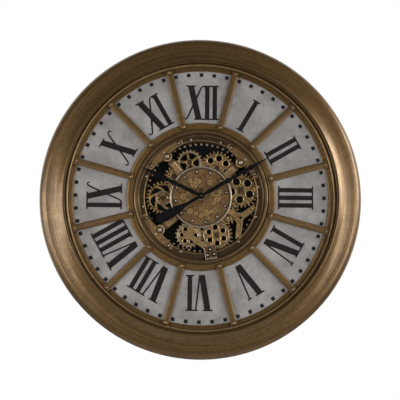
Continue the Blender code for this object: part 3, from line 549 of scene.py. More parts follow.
def present(
    item: bpy.types.Object,
    name: str,
    finish: "Finish",
    replaces: Sequence[str] = (),
    body: str = "clock",
) -> None:
    """Names, dresses and mounts a finished piece.

    Args:
        item: The piece, with its place in its mesh.
        name: The piece's name.
        finish: The finish whose material it wears.
        replaces: CAD nodes that it stands for.
        body: The CAD body that it rides on.
    """
    item.name = name
    item.data.name = name
    item.data.materials.clear()
    item.data.materials.append(finish.material())
    activate(item)
    bpy.ops.object.shade_smooth_by_angle(angle=SMOOTH_ANGLE)
    apply_modifier(item, "WEIGHTED_NORMAL", keep_sharp=True)
    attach(item, body)
    if replaces:
        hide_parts(*replaces)
    LOG.info("piece %s rides %s with %d faces", name, body, len(item.data.polygons))


# Finishes


class Brush(Enum):
    """Which way a metal's brushing runs: (round the dial, across it per metre, evenly per metre)."""

    AROUND = (1.3, 330.0, 0.0)
    OUTWARD = (75.0, 7.0, 0.0)
    CAST = (0.0, 0.0, 110.0)
    MOTTLED = (0.0, 0.0, 52.0)


class Graph:
    """Adds and joins the nodes of one tree."""

    def __init__(self, tree: bpy.types.NodeTree) -> None:
        """Keeps the tree that it works on."""
        self.tree = tree

    def add(self, kind: str, **settings: object) -> bpy.types.Node:
        """Adds a node of a kind and sets its properties.

        Args:
            kind: The node's type.
            **settings: Its properties by name.

        Returns:
            The new node.
        """
        node = self.tree.nodes.new(kind)
        for key, value in settings.items():
            setattr(node, key, value)
        return node

    def feed(self, target: bpy.types.NodeSocket, value: object) -> None:
        """Links a socket, or sets a plain value on it.

        Args:
            target: The input socket.
            value: A socket to link, or a value to set.
        """
        if isinstance(value, bpy.types.NodeSocket):
            self.tree.links.new(value, target)
        else:
            target.default_value = value

    def fill(self, node: bpy.types.Node, values: dict[str | int, object]) -> bpy.types.NodeOutputs:
        """Feeds several inputs of a node.

        Args:
            node: The node to feed.
            values: Sockets or plain values, by the inputs' names or numbers.

        Returns:
            The node's outputs.
        """
        for label, value in values.items():
            self.feed(node.inputs[label], value)
        return node.outputs

    def maths(
        self, operation: str, first: object, second: object, clamp: bool = False
    ) -> bpy.types.NodeSocket:
        """Result of a Math node on two values or sockets, kept between 0 and 1 if clamped."""
        node = self.add("ShaderNodeMath", operation=operation, use_clamp=clamp)
        return self.fill(node, {0: first, 1: second})[0]

    def times(self, first: object, second: object, clamp: bool = False) -> bpy.types.NodeSocket:
        """Product of two values or sockets."""
        return self.maths("MULTIPLY", first, second, clamp)

    def plus(self, first: object, second: object, clamp: bool = False) -> bpy.types.NodeSocket:
        """Sum of two values or sockets."""
        return self.maths("ADD", first, second, clamp)

    def vector(self, operation: str, values: dict[str | int, object]) -> bpy.types.NodeOutputs:
        """Outputs of a Vector Math node that is fed with values."""
        return self.fill(self.add("ShaderNodeVectorMath", operation=operation), values)

    def apart(self, vector: bpy.types.NodeSocket) -> bpy.types.NodeOutputs:
        """A vector's parts, by the names X, Y and Z."""
        return self.fill(self.add("ShaderNodeSeparateXYZ"), {0: vector})

    def together(self, **parts: object) -> bpy.types.NodeSocket:
        """The vector of the parts X, Y and Z."""
        return self.fill(self.add("ShaderNodeCombineXYZ"), parts)[0]

    def place(self) -> bpy.types.NodeSocket:
        """The piece's own coordinates."""
        return self.add("ShaderNodeTexCoord").outputs["Object"]

    def span(
        self, value: object, low: float, high: float, to_low: float = 0.0, to_high: float = 1.0
    ) -> bpy.types.NodeSocket:
        """Maps a value from one range to another, smoothly and clamped.

        Args:
            value: The socket to map.
            low: Start of the range it comes from.
            high: End of that range.
            to_low: Start of the range it goes to.
            to_high: End of that range.

        Returns:
            The result's socket.
        """
        node = self.add("ShaderNodeMapRange", interpolation_type="SMOOTHSTEP")
        ranges = {"From Min": low, "From Max": high, "To Min": to_low, "To Max": to_high}
        return self.fill(node, {"Value": value, **ranges})["Result"]

    def edge(self, low: float, high: float) -> bpy.types.NodeSocket:
        """Mask of the sharp outer edges."""
        return self.span(self.add("ShaderNodeNewGeometry").outputs["Pointiness"], low, high)

    def mix(self, factor: object, first: object, second: object) -> bpy.types.NodeSocket:
        """Mixes two colours by the share of the second."""
        node = self.add("ShaderNodeMix", data_type="RGBA")
        return self.fill(node, {0: factor, 6: first, 7: second})[2]

    def noise(self, vector: object, scale: float, detail: float, roughness: float) -> bpy.types.NodeSocket:
        """Noise read at a vector, by features per metre, octaves and strength of the finer ones."""
        values = {"Vector": vector, "Scale": scale, "Detail": detail, "Roughness": roughness}
        return self.fill(self.add("ShaderNodeTexNoise"), values)["Fac"]

    def bump(self, height: object, strength: float, distance: float) -> bpy.types.NodeSocket:
        """Normal of a height, by strength and the height's full depth in metres."""
        values = {"Strength": strength, "Distance": distance, "Height": height}
        return self.fill(self.add("ShaderNodeBump"), values)[0]

    def blend(self, factor: object, first: object, second: object) -> bpy.types.NodeSocket:
        """Mixes two shaders by the share of the second."""
        return self.fill(self.add("ShaderNodeMixShader"), {0: factor, 1: first, 2: second})[0]


@dataclass(frozen=True)
class Cloud:
    """A noise and the span of its values that becomes a mask."""

    scale: float
    detail: float
    roughness: float
    low: float
    high: float

    def mask(self, graph: Graph, place: bpy.types.NodeSocket) -> bpy.types.NodeSocket:
        """The mask at a place."""
        return graph.span(graph.noise(place, self.scale, self.detail, self.roughness), self.low, self.high)


METAL_STREAK = Cloud(1.0, 5.0, 0.62, 0.34, 0.68)
METAL_BLOTCH = Cloud(26.0, 4.0, 0.6, 0.42, 0.68)
METAL_FLECK = Cloud(190.0, 3.0, 0.6, 0.45, 0.6)
DIAL_CLOUD = Cloud(16.0, 6.0, 0.62, 0.36, 0.66)
DIAL_PATCH = Cloud(48.0, 5.0, 0.68, 0.5, 0.72)
DIAL_SPECK = Cloud(520.0, 3.0, 0.7, 0.58, 0.74)
PAINT_CLOUD = Cloud(70.0, 5.0, 0.65, 0.4, 0.75)

# Features per metre, octaves and roughness of the noises that give height alone
METAL_GRAIN = (1500.0, 2.0, 0.5)
DIAL_GRAIN = (380.0, 4.0, 0.7)

# Ranges of occlusion and pointiness that count as creases and edges; the creases take painted shade as well
# as patina
OCCLUSION_SHADE_SPAN = (0.42, 0.98, 1.0, 0.0)
METAL_EDGE = (0.515, 0.58)
PAINT_EDGE = (0.52, 0.6)

# How much each mask adds to a metal's roughness, and its grain to the height
STREAK_GLOSS = -0.1
PATINA_SHADE_DULLNESS = 0.22
BLOTCH_DULLNESS = 0.08
RUB_GLOSS = 0.1
GRAIN_HEIGHT = 0.35
METAL_SPECULAR = 0.15
LACQUER_ROUGHNESS = 0.27


def effect_group(
    name: str, inputs: dict[str, str], outputs: dict[str, str]
) -> tuple[Graph, bpy.types.NodeOutputs, bpy.types.Node]:
    """Starts a shader node group with named sockets.

    Args:
        name: The group's name.
        inputs: Socket name to socket type.
        outputs: Socket name to socket type.

    Returns:
        The group's graph, what it is given and its output node.
    """
    tree = bpy.data.node_groups.new(name, "ShaderNodeTree")
    for way, sockets in (("INPUT", inputs), ("OUTPUT", outputs)):
        for label, kind in sockets.items():
            tree.interface.new_socket(name=label, in_out=way, socket_type=kind)
    graph = Graph(tree)
    return graph, graph.add("NodeGroupInput").outputs, graph.add("NodeGroupOutput")


def aged_metal_and_shade_group() -> bpy.types.NodeTree:
    """Brushed streaks, a dark wash of patina and painted shade in the creases, and rubbed edges, shared by
    all metals.

    Returns:
        The group's tree, made once.
    """
    found = bpy.data.node_groups.get("aged_metal_and_shade")
    if found:
        return found
    inputs = dict.fromkeys(("Base", "Dark", "Bright"), "NodeSocketColor")
    labels = ("Round", "Across", "Even", "Streaks", "Patina and Shade", "Stain", "Rub", "Reach")
    inputs.update(dict.fromkeys(labels, "NodeSocketFloat"))
    outputs = {"Colour": "NodeSocketColor", "Roughness": "NodeSocketFloat", "Height": "NodeSocketFloat"}
    graph, given, result = effect_group("aged_metal_and_shade", inputs, outputs)
    place = graph.place()
    parts = graph.apart(place)
    flat = graph.together(X=parts["X"], Z=parts["Z"])
    sides = graph.apart(graph.vector("NORMALIZE", {0: flat})[0])
    away = graph.maths("SUBTRACT", graph.vector("LENGTH", {0: flat})["Value"], parts["Y"])
    woven = graph.together(
        X=graph.times(sides["X"], given["Round"]),
        Y=graph.times(sides["Z"], given["Round"]),
        Z=graph.times(away, given["Across"]),
    )
    cast = graph.vector("SCALE", {0: place, "Scale": given["Even"]})[0]
    laid = graph.vector("ADD", {0: woven, 1: cast})[0]
    streak = METAL_STREAK.mask(graph, laid)
    blotch = METAL_BLOTCH.mask(graph, place)
    # Ambient occlusion darkens creases, recesses and gaps between parts towards the dark colour: partly
    # patina, partly painted shade.
    occlusion = graph.fill(graph.add("ShaderNodeAmbientOcclusion", samples=6), {"Distance": given["Reach"]})
    occlusion_shade = graph.span(occlusion["AO"], *OCCLUSION_SHADE_SPAN)
    spots = graph.maths("MAXIMUM", blotch, METAL_FLECK.mask(graph, place))
    stain = graph.times(spots, given["Stain"], True)
    patina_and_shade = graph.times(occlusion_shade, given["Patina and Shade"], True)
    rub = graph.times(graph.edge(*METAL_EDGE), given["Rub"], True)
    brushed = graph.times(streak, given["Streaks"])
    colour = graph.mix(brushed, given["Base"], given["Bright"])
    colour = graph.mix(stain, colour, given["Dark"])
    colour = graph.mix(patina_and_shade, colour, given["Dark"])
    colour = graph.mix(rub, colour, given["Bright"])
    rough = graph.plus(graph.times(streak, STREAK_GLOSS), graph.times(patina_and_shade, PATINA_SHADE_DULLNESS))
    rough = graph.plus(rough, graph.times(blotch, BLOTCH_DULLNESS))
    rough = graph.maths("SUBTRACT", rough, graph.times(rub, RUB_GLOSS))
    height = graph.plus(brushed, graph.times(graph.noise(place, *METAL_GRAIN), GRAIN_HEIGHT))
    graph.fill(result, {"Colour": colour, "Roughness": rough, "Height": height})
    return graph.tree


@dataclass(frozen=True)
class Finish:
    """A named finish; each kind says how its nodes are laid."""

    name: str

    def material(self) -> bpy.types.Material:
        """The finish's material, made once.

        Returns:
            The material that this finish names.
        """
        found = bpy.data.materials.get(self.name)
        if found:
            return found
        made = bpy.data.materials.new(self.name)
        made.use_nodes = True
        graph = Graph(made.node_tree)
        self.lay(graph, made.node_tree.nodes["Principled BSDF"])
        return made

    def lay(self, graph: Graph, shader: bpy.types.Node) -> None:
        """Lays the finish's nodes in front of the shader."""
        raise NotImplementedError


@dataclass(frozen=True)
class MetalFinish(Finish):
    """Metal with brushing, a dark wash of patina and painted shade in its creases, rubbed edges and a thin
    lacquer.
    """

    base: Colour
    dark: Colour
    bright: Colour
    roughness: float
    metallic: float
    brush: Brush
    streaks: float = 0.5
    # How far the creases darken: patina, and painted shade from ambient occlusion.
    patina_and_shade: float = 0.6
    rub: float = 0.4
    bump: float = 0.15
    # How far the ambient occlusion reaches, in millimetres, for that painted shade.
    reach: float = 14.0
    lacquer: float = 0.0
    stain: float = 0.35

    def lay(self, graph: Graph, shader: bpy.types.Node) -> None:
        """Feeds colour, roughness and bump from the shared group of aged metal and painted shade.

        Args:
            graph: The material's graph.
            shader: Its Principled BSDF.
        """
        around_dial, across, even = self.brush.value
        aged_and_shaded = graph.fill(graph.add("ShaderNodeGroup", node_tree=aged_metal_and_shade_group()), {
            "Base": (*self.base, 1.0), "Dark": (*self.dark, 1.0), "Bright": (*self.bright, 1.0),
            "Round": around_dial, "Across": across, "Even": even, "Streaks": self.streaks,
            "Patina and Shade": self.patina_and_shade, "Stain": self.stain, "Rub": self.rub, "Reach": self.reach * MM,
        })
        graph.fill(shader, {
            "Base Color": aged_and_shaded["Colour"],
            "Roughness": graph.plus(aged_and_shaded["Roughness"], self.roughness, True),
            "Metallic": self.metallic,
            "Specular IOR Level": METAL_SPECULAR,
            "Coat Weight": self.lacquer,
            "Coat Roughness": LACQUER_ROUGHNESS,
            "Normal": graph.bump(aged_and_shaded["Height"], self.bump, 0.4 * MM),
        })


@dataclass(frozen=True)
class BoardFinish(Finish):
    """Pale paint on board, mottled, with a fine speckle and faint brown stains."""

    base: Colour
    light: Colour
    stain: Colour
    roughness: float = 0.62
    patches: float = 0.4
    specks: float = 0.35
    dullness: float = 0.12
    bump: float = 0.12

    def lay(self, graph: Graph, shader: bpy.types.Node) -> None:
        """Mixes three scales of noise over the paint.

        Args:
            graph: The material's graph.
            shader: Its Principled BSDF.
        """
        place = graph.place()
        stain = (*self.stain, 1.0)
        patch = DIAL_PATCH.mask(graph, place)
        colour = graph.mix(DIAL_CLOUD.mask(graph, place), (*self.base, 1.0), (*self.light, 1.0))
        colour = graph.mix(graph.times(patch, self.patches), colour, stain)
        colour = graph.mix(graph.times(DIAL_SPECK.mask(graph, place), self.specks), colour, stain)
        graph.fill(shader, {
            "Base Color": colour,
            "Roughness": graph.plus(graph.times(patch, self.dullness), self.roughness),
            "Normal": graph.bump(graph.noise(place, *DIAL_GRAIN), self.bump, 0.5 * MM),
        })


@dataclass(frozen=True)
class PaintFinish(Finish):
    """Dark paint or moulded plastic with a fine grain and light rubbing."""

    base: Colour
    rubbed: Colour
    roughness: float
    grain: float = 900.0
    bump: float = 0.1
    metallic: float = 0.0
    specular: float = 0.2
    clouding: float = 0.4
    rubbing: float = 0.5
    dullness: float = 0.12

    def lay(self, graph: Graph, shader: bpy.types.Node) -> None:
        """Varies the paint by a soft cloud, and lightens its sharp edges.

        Args:
            graph: The material's graph.
            shader: Its Principled BSDF.
        """
        place = graph.place()
        cloud = PAINT_CLOUD.mask(graph, place)
        rubbing = graph.times(graph.edge(*PAINT_EDGE), self.rubbing)
        share = graph.plus(graph.times(cloud, self.clouding), rubbing, True)
        graph.fill(shader, {
            "Base Color": graph.mix(share, (*self.base, 1.0), (*self.rubbed, 1.0)),
            "Roughness": graph.plus(graph.times(cloud, self.dullness), self.roughness),
            "Metallic": self.metallic,
            "Specular IOR Level": self.specular,
            "Normal": graph.bump(graph.noise(place, self.grain, 3.0, 0.6), self.bump, 0.3 * MM),
        })


# Each metal's wash darkens its creases by ambient occlusion: partly patina, partly painted shade; its reach
# is set per finish.
BRONZE = MetalFinish(
    "antique_bronze_paint", (0.128, 0.07, 0.0225), (0.022, 0.011, 0.004), (0.26, 0.155, 0.058),
    0.42, 0.62, Brush.AROUND, streaks=0.75, patina_and_shade=0.8, rub=0.35, reach=6.0, lacquer=0.55, stain=0.3,
)
LIP_BRASS = MetalFinish(
    "rubbed_lip_brass", (0.25, 0.147, 0.058), (0.03, 0.016, 0.007), (0.45, 0.3, 0.14),
    0.4, 0.6, Brush.AROUND, streaks=0.5, patina_and_shade=0.75, rub=0.4, reach=5.0, lacquer=0.2,
)
BAND_BRASS = MetalFinish(
    "aged_band_brass", (0.19, 0.105, 0.034), (0.02, 0.011, 0.005), (0.36, 0.23, 0.1),
    0.4, 0.65, Brush.AROUND, streaks=0.4, patina_and_shade=1.0, rub=0.6, reach=7.0, lacquer=0.2,
)
RELIEF_GOLD = MetalFinish(
    "gilt_relief", (0.5, 0.29, 0.09), (0.02, 0.011, 0.004), (0.95, 0.63, 0.28),
    0.36, 0.65, Brush.CAST, streaks=0.6, patina_and_shade=0.8, rub=0.9, reach=2.5,
)
STRAP_BRASS = MetalFinish(
    "dark_strap_brass", (0.09, 0.052, 0.022), (0.006, 0.004, 0.003), (0.3, 0.19, 0.09),
    0.42, 0.65, Brush.CAST, streaks=0.5, patina_and_shade=1.0, rub=0.8, reach=7.0,
)
SPOKE_BRASS = MetalFinish(
    "aged_spoke_brass", (0.14, 0.081, 0.032), (0.02, 0.012, 0.006), (0.25, 0.16, 0.072),
    0.5, 0.5, Brush.OUTWARD, streaks=0.4, patina_and_shade=0.9, rub=0.15, reach=7.0,
)
WORKS_BRASS = MetalFinish(
    "aged_gear_brass", (0.36, 0.205, 0.072), (0.004, 0.0025, 0.002), (0.9, 0.6, 0.27),
    0.34, 0.75, Brush.CAST, streaks=0.7, patina_and_shade=1.0, rub=0.9, reach=14.0, stain=1.0,
)
BRIGHT_BRASS = MetalFinish(
    "rubbed_brass", (0.52, 0.32, 0.135), (0.012, 0.007, 0.004), (0.95, 0.68, 0.37),
    0.36, 0.7, Brush.CAST, streaks=0.55, patina_and_shade=0.85, rub=0.9, reach=5.0, stain=0.4,
)
DARK_BRASS = MetalFinish(
    "dark_ring_brass", (0.02, 0.012, 0.006), (0.003, 0.002, 0.0015), (0.22, 0.145, 0.08),
    0.46, 0.6, Brush.CAST, streaks=0.3, patina_and_shade=1.0, rub=0.6, reach=6.0,
)
DISC_BRASS = MetalFinish(
    "mottled_disc_brass", (0.15, 0.084, 0.034), (0.01, 0.006, 0.0035), (0.52, 0.32, 0.14),
    0.42, 0.65, Brush.MOTTLED, streaks=0.9, patina_and_shade=1.0, rub=0.8, reach=12.0, stain=0.65,
)
OLIVE = MetalFinish(
    "olive_bezel_paint", (0.125, 0.078, 0.034), (0.006, 0.004, 0.0025), (0.34, 0.225, 0.115),
    0.4, 0.7, Brush.AROUND, streaks=0.5, patina_and_shade=1.0, rub=0.6, reach=16.0,
)
PALE_WIRE = MetalFinish(
    "pale_nickel_ring", (0.42, 0.34, 0.245), (0.02, 0.013, 0.008), (0.6, 0.5, 0.38),
    0.42, 0.6, Brush.CAST, streaks=0.4, patina_and_shade=0.95, rub=0.5, reach=5.0,
)
STEEL = MetalFinish(
    "zinc_plated_steel", (0.42, 0.41, 0.38), (0.14, 0.13, 0.12), (0.66, 0.65, 0.62),
    0.32, 0.95, Brush.CAST, streaks=0.25, patina_and_shade=0.4, rub=0.3,
)
DIAL_PAINT = BoardFinish("pale_dial_paint", (0.235, 0.22, 0.21), (0.335, 0.32, 0.31), (0.15, 0.128, 0.11))
NUMERAL_PAINT = PaintFinish("numeral_paint", (0.006, 0.004, 0.004), (0.016, 0.011, 0.01), 0.7)
HAND_PAINT = PaintFinish("black_hand_paint", (0.002, 0.002, 0.0025), (0.007, 0.006, 0.006), 0.5, specular=0.1)
PLATE_PAINT = PaintFinish(
    "black_plate_paint", (0.0015, 0.0022, 0.002), (0.006, 0.008, 0.0068), 0.6, specular=0.08
)
PLASTIC = PaintFinish(
    "black_moulded_plastic", (0.016, 0.016, 0.017), (0.045, 0.045, 0.046), 0.5, 1600.0, 0.25, specular=0.5
)
CELL_JACKET = PaintFinish(
    "plain_cell_jacket", (0.03, 0.036, 0.05), (0.06, 0.07, 0.09), 0.34, 600.0, 0.03, 0.3, specular=0.5
)


# Sub-assemblies


@dataclass
class OuterRing:
    """The moulded ring round the dial: side, ovolo, shelf, cove, crest, groove and lip."""

    radius: float = 400.0
    flange: Point = (372.0, 388.0)
    sheet: float = 1.6
    widest: float = 43.7
    ovolo: float = 20.7
    shelf: float = 374.0
    crest: Point = (341.0, 338.7)
    crest_depth: float = 74.7
    cove_height: float = 10.3
    step: Point = (337.4, 66.0)
    step_radius: float = 1.5
    groove: Point = (335.9, 334.7)
    groove_depth: float = 58.5
    lip: Point = (334.7, 327.7)
    lip_depth: float = 61.2
    lip_sink: float = 0.9
    lip_foot: float = 2.2
    lip_inset: float = 0.3
    faces: int = 192
    back: float = 49.7

    def skin(self, offset: float) -> list[Point]:
        """The outside from the flange to the crest, set inward by an offset.

        Args:
            offset: How far inside the outer face the line lies.

        Returns:
            Points (radius, depth) in order.
        """
        flange_outer = self.flange[1]
        taper = self.radius - flange_outer - offset
        points = []
        for step in range(10):
            turn = math.radians(90 - 9 * step)
            reach = self.widest - (self.widest - offset) * math.sin(turn)
            points.append((flange_outer + taper * math.cos(turn), reach))
        centre = self.radius - self.ovolo
        points += arc((centre, self.widest), self.ovolo - offset, 0, 90, 12)
        width = self.shelf - self.crest[0]
        sweep = (width**2 + self.cove_height**2) / (2 * self.cove_height)
        steepest = math.asin(width / sweep)
        low = self.crest_depth - self.cove_height + sweep
        for step in range(13):
            turn = steepest * step / 12
            reach = sweep + offset
            points.append((self.shelf - reach * math.sin(turn), low - reach * math.cos(turn)))
        return points

    def profile(self) -> list[Point]:
        """The closed section of the sheet.

        Returns:
            Points (radius, depth) round the section.
        """
        outer, inner = self.crest
        top, low = self.crest_depth, self.groove_depth
        outside = [(self.flange[0], 0.0), *self.skin(0.0)[:-1]]
        outside += [(outer, top - 0.35), (outer - 0.7, top), (inner + 0.6, top), (inner, top - 0.7)]
        outside += arc(self.step, self.step_radius, 60, 180, 6)
        outside += [(self.groove[0], low), (self.groove[1], low)]
        outside += self.lip_bead(self.lip_sink)
        outside.append((self.lip[1], self.back))
        inside = [(self.groove[0] + self.sheet, self.back), (inner + self.sheet, top - 2 * self.sheet)]
        inside += list(reversed(self.skin(self.sheet)[:-2]))
        return [*outside, *inside, (self.flange[0], self.sheet)]

    def lip_bead(self, sink: float) -> list[Point]:
        """The lip's half-round top, from its outer side.

        Args:
            sink: How far it is set back from the lip's full depth.

        Returns:
            Points (radius, depth) in order.
        """
        outer, inner = self.lip
        half = (outer - inner) / 2
        return arc(((outer + inner) / 2, self.lip_depth - half - sink), half, 0, 180, 10)

    def build(self) -> None:
        """Turns the moulding and its rubbed lip, and mounts them in place of the CAD ring."""
        present(turned(self.profile(), self.faces), "moulded_ring", BRONZE, ["outer_frame"])
        bead = self.lip_bead(0.0)
        foot = bead[0][1] - self.lip_foot
        section = [(self.lip[1] + self.lip_inset, foot), (self.lip[0] - self.lip_inset, foot), *bead]
        present(turned(section, self.faces), "rubbed_lip", LIP_BRASS)


class Stroke(Enum):
    """The letters that the numerals are made of."""

    ONE = "I"
    FIVE = "V"
    TEN = "X"


@dataclass
class Numerals:
    """Roman numerals with thick stems, thin hairlines and slab serifs, their tops outward."""

    foot: float = 193.5
    height: float = 88.0
    back: float = 49.4
    front: float = 49.75
    stem: float = 11.2
    broad: float = 15.0
    hairline: float = 4.0
    behind: float = 0.08
    serif: float = 3.6
    serif_behind: float = 0.01
    overhang: float = 4.6
    one_pitch: float = 19.0
    five_lean: float = 15.0
    five_hairline: Point = (5.0, 37.0)
    five_serif: Point = (31.5, 42.5)
    five_pitch: float = 46.0
    ten_lean: float = 21.0
    ten_pitch: float = 43.5
    hook: tuple[Place, ...] = (
        (-9.4, 8.4, 2.0), (-9.0, 4.0, 3.4), (-6.2, 1.7, 3.6), (-2.6, 2.6, 3.4), (0.6, 7.0, 3.6),
        (4.6, 16.0, 4.0), (17.0, 44.0, 4.6), (29.6, 73.0, 4.0), (33.2, 81.0, 3.6), (36.6, 85.4, 3.4),
        (40.2, 86.3, 3.6), (43.0, 84.0, 3.4), (43.4, 79.6, 2.0),
    )
    words: tuple[str, ...] = ("XII", "I", "II", "III", "IV", "V", "VI", "VII", "VIII", "IX", "X", "XI")

    def slanted(self, low: float, high: float, width: float) -> bpy.types.Object:
        """A stroke whose foot is centred at low and whose head is centred at high.

        Args:
            low: Middle of its foot.
            high: Middle of its head.
            width: Its width.

        Returns:
            The stroke.
        """
        front = self.front - (self.behind if width == self.hairline else 0.0)
        half = width / 2
        item = block((low - half, self.back, self.foot), (low + half, front, self.foot + self.height))
        if low != high:
            way = ((high - low) * MM, 0.0, 0.0)
            edit_faces(item, lambda face: face.normal.z > 0.9, lambda: bpy.ops.transform.translate(value=way))
        return item

    def slab(self, left: float, right: float, top: bool) -> bpy.types.Object:
        """A serif between two places, along the head or else along the foot."""
        low = self.foot + self.height - self.serif if top else self.foot
        return block((left, self.back, low), (right, self.front - self.serif_behind, low + self.serif))

    def swash(self, start: float) -> bpy.types.Object:
        """The thin stroke of the ten, hooked at its foot and its head."""
        path = [(start + across, self.foot + rise, width) for across, rise, width in self.hook]
        return plate(ribbon(path), self.back, self.front - self.behind)

    def letter(self, stroke: Stroke, start: float) -> tuple[list[bpy.types.Object], float]:
        """One letter from a starting place.

        Args:
            stroke: Which letter.
            start: Where its left side begins.

        Returns:
            Its strokes and the place where the next letter begins.
        """
        half, over = self.broad / 2, self.overhang
        if stroke is Stroke.ONE:
            middle = start + self.stem / 2
            strokes = [self.slanted(middle, middle, self.stem)]
            strokes += [self.slab(start - over, start + self.stem + over, top) for top in (True, False)]
            return strokes, start + self.one_pitch
        head_serif = (start - over, start + self.broad + over, True)
        if stroke is Stroke.FIVE:
            foot = start + half + self.five_lean
            low, high = self.five_hairline
            strokes = [self.slanted(foot, start + half, self.broad)]
            strokes += [self.slanted(foot + low, start + high, self.hairline), self.slab(*head_serif)]
            left, right = self.five_serif
            return [*strokes, self.slab(start + left, start + right, True)], start + self.five_pitch
        foot = start + half + self.ten_lean
        strokes = [self.slanted(foot, start + half, self.broad), self.swash(start), self.slab(*head_serif)]
        return [*strokes, self.slab(foot - half - over, foot + half + over, False)], start + self.ten_pitch

    def build(self) -> None:
        """Draws the twelve numerals, each a piece of its own."""
        for hour, word in enumerate(self.words):
            cursor = 0.0
            strokes = []
            for character in word:
                made, cursor = self.letter(Stroke(character), cursor)
                strokes += made
            numeral = join(strokes)
            places = [vertex.co.x / MM for vertex in numeral.data.vertices]
            moved(numeral, (-(min(places) + max(places)) / 2, 0.0))
            numeral = moved(swung(numeral, 30 * hour), PRINT_SHIFT)
            present(numeral, f"numeral_{hour:02d}", NUMERAL_PAINT)


@dataclass
class Dial:
    """The pale panel, its sixty minute squares and the two flat bands that edge it."""

    radii: Point = (166.4, 340.0)
    depths: Point = (43.7, 49.4)
    minute_radius: float = 308.5
    minute_size: float = 9.2
    minute_depth: float = 0.3
    band_back: float = 49.7
    band_front: float = 53.7
    outer_band: Point = (316.6, 327.4)
    inner_band: Point = (166.7, 184.8)
    corner: float = 0.4

    def panel(self) -> None:
        """The painted board."""
        board = washer(self.radii, self.depths, self.corner, segments=160)
        present(board, "dial_panel", DIAL_PAINT, ["dial_plate"])

    def minutes(self) -> None:
        """Sixty printed squares, one a minute."""
        half, front = self.minute_size / 2, self.depths[1]
        low = (-half, front, self.minute_radius - half)
        square = block(low, (half, front + self.minute_depth, self.minute_radius + half))
        marks = spread(soften(square, self.corner, 1, 80.0), range(0, 360, 6))
        present(moved(marks, PRINT_SHIFT), "minute_squares", NUMERAL_PAINT)

    def bands(self) -> None:
        """Flat rings with a rounded bead along the side that meets the dial."""
        back, front = self.band_back, self.band_front
        low, high = self.outer_band
        wide = [(low, back), (high, back), (high, front - 0.8), (high - 1.2, front - 0.8)]
        wide += [(high - 2.2, front - 1.5), (low + 4.6, front - 1.5), (low + 4.0, front - 0.5)]
        wide += [(low + 2.3, front), (low + 0.6, front - 0.5), (low, front - 1.8)]
        item = turned(rounded(wide, self.corner, 2), 160)
        present(item, "band_outer", BAND_BRASS, ["outer_band"])
        low, high = self.inner_band
        narrow = [(low, back), (high, back), (high, front - 1.8), (high - 0.6, front - 0.5)]
        narrow += [(high - 2.0, front), (high - 3.4, front - 0.5), (high - 4.0, front - 1.0)]
        narrow += [(low + 3.6, front - 1.0), (low + 3.0, front - 1.6)]
        narrow += [(low + 2.8, back + 0.5), (low, back + 0.5)]
        item = turned(rounded(narrow, self.corner, 2), 128)
        present(item, "band_inner", BAND_BRASS, ["inner_band"])

    def build(self) -> None:
        """Builds the panel, the squares and the bands."""
        self.panel()
        self.minutes()
        self.bands()


@dataclass
class Spokes:
    """Twelve domed bars between the numerals, with saddles and rivets where they cross the bands."""

    reach: Point = (174.2, 326.8)
    steps: Point = (185.1, 316.2)
    width: float = 16.2
    back: float = 49.7
    lap: float = 54.0
    shoulder: float = 54.7
    ridge: float = 56.5
    rivet: float = 4.2
    rivet_top: float = 59.9
    rivet_places: Point = (178.9, 321.4)
    collar_height: float = 0.9
    saddles: tuple[Place, ...] = ((178.6, 8.8, 17.2), (321.5, 10.4, 18.4))

    def bar_piece(self) -> bpy.types.Object:
        """The domed bar along +Z, standing on the dial between the bands.

        Returns:
            The bar, at twelve o'clock.
        """
        half = self.width / 2
        inner, outer = self.reach
        low, high = self.steps
        right = [(half, self.shoulder), (half - 1.3, self.ridge - 0.9)]
        right += [(half - 3.2, self.ridge - 0.35), (1.6, self.ridge)]
        left = [(-x, depth) for x, depth in reversed(right)]
        section = [(-half, self.lap), (half, self.lap), *right, *left]
        item = extruded([(x, -depth, inner) for x, depth in section], (0.0, 0.0, outer - inner))
        soften(item, 0.5, 2, 25.0)
        foot = block((-half + 0.4, self.back, low), (half - 0.4, self.lap + 0.3, high))
        return join([item, foot])

    def saddle(self, middle: float, length: float, wide: float) -> bpy.types.Object:
        """A low block over a band, on top of the bar, by its distance from the axis and its size."""
        low = (-wide / 2, self.lap, middle - length / 2)
        return soften(block(low, (wide / 2, self.ridge + 0.5, middle + length / 2)), 0.7)

    def build(self) -> None:
        """Models one spoke and copies it round the dial."""
        base = self.ridge + self.collar_height
        radii = (self.rivet - 1.0, self.rivet + 1.3)
        bar_pattern = join([self.bar_piece(), *(self.saddle(*place) for place in self.saddles)])
        height = self.rivet_top - base
        heads = [screw_head(self.rivet, base, height, (0.0, place)) for place in self.rivet_places]
        collars = [washer(radii, (self.ridge - 0.2, base), 0.5, (0.0, place)) for place in self.rivet_places]
        head, collar = join(heads), join(collars)
        for index in range(12):
            angle, number = 15 + 30 * index, f"{index + 1:02d}"
            spoke = f"spoke_{number}"
            present(twin(bar_pattern, angle), f"ridged_{spoke}", SPOKE_BRASS, [spoke])
            present(twin(head, angle), f"rivets_{number}", LIP_BRASS)
            present(twin(collar, angle), f"rivet_collars_{number}", DARK_BRASS)
        for item in (bar_pattern, head, collar):
            bpy.data.objects.remove(item)


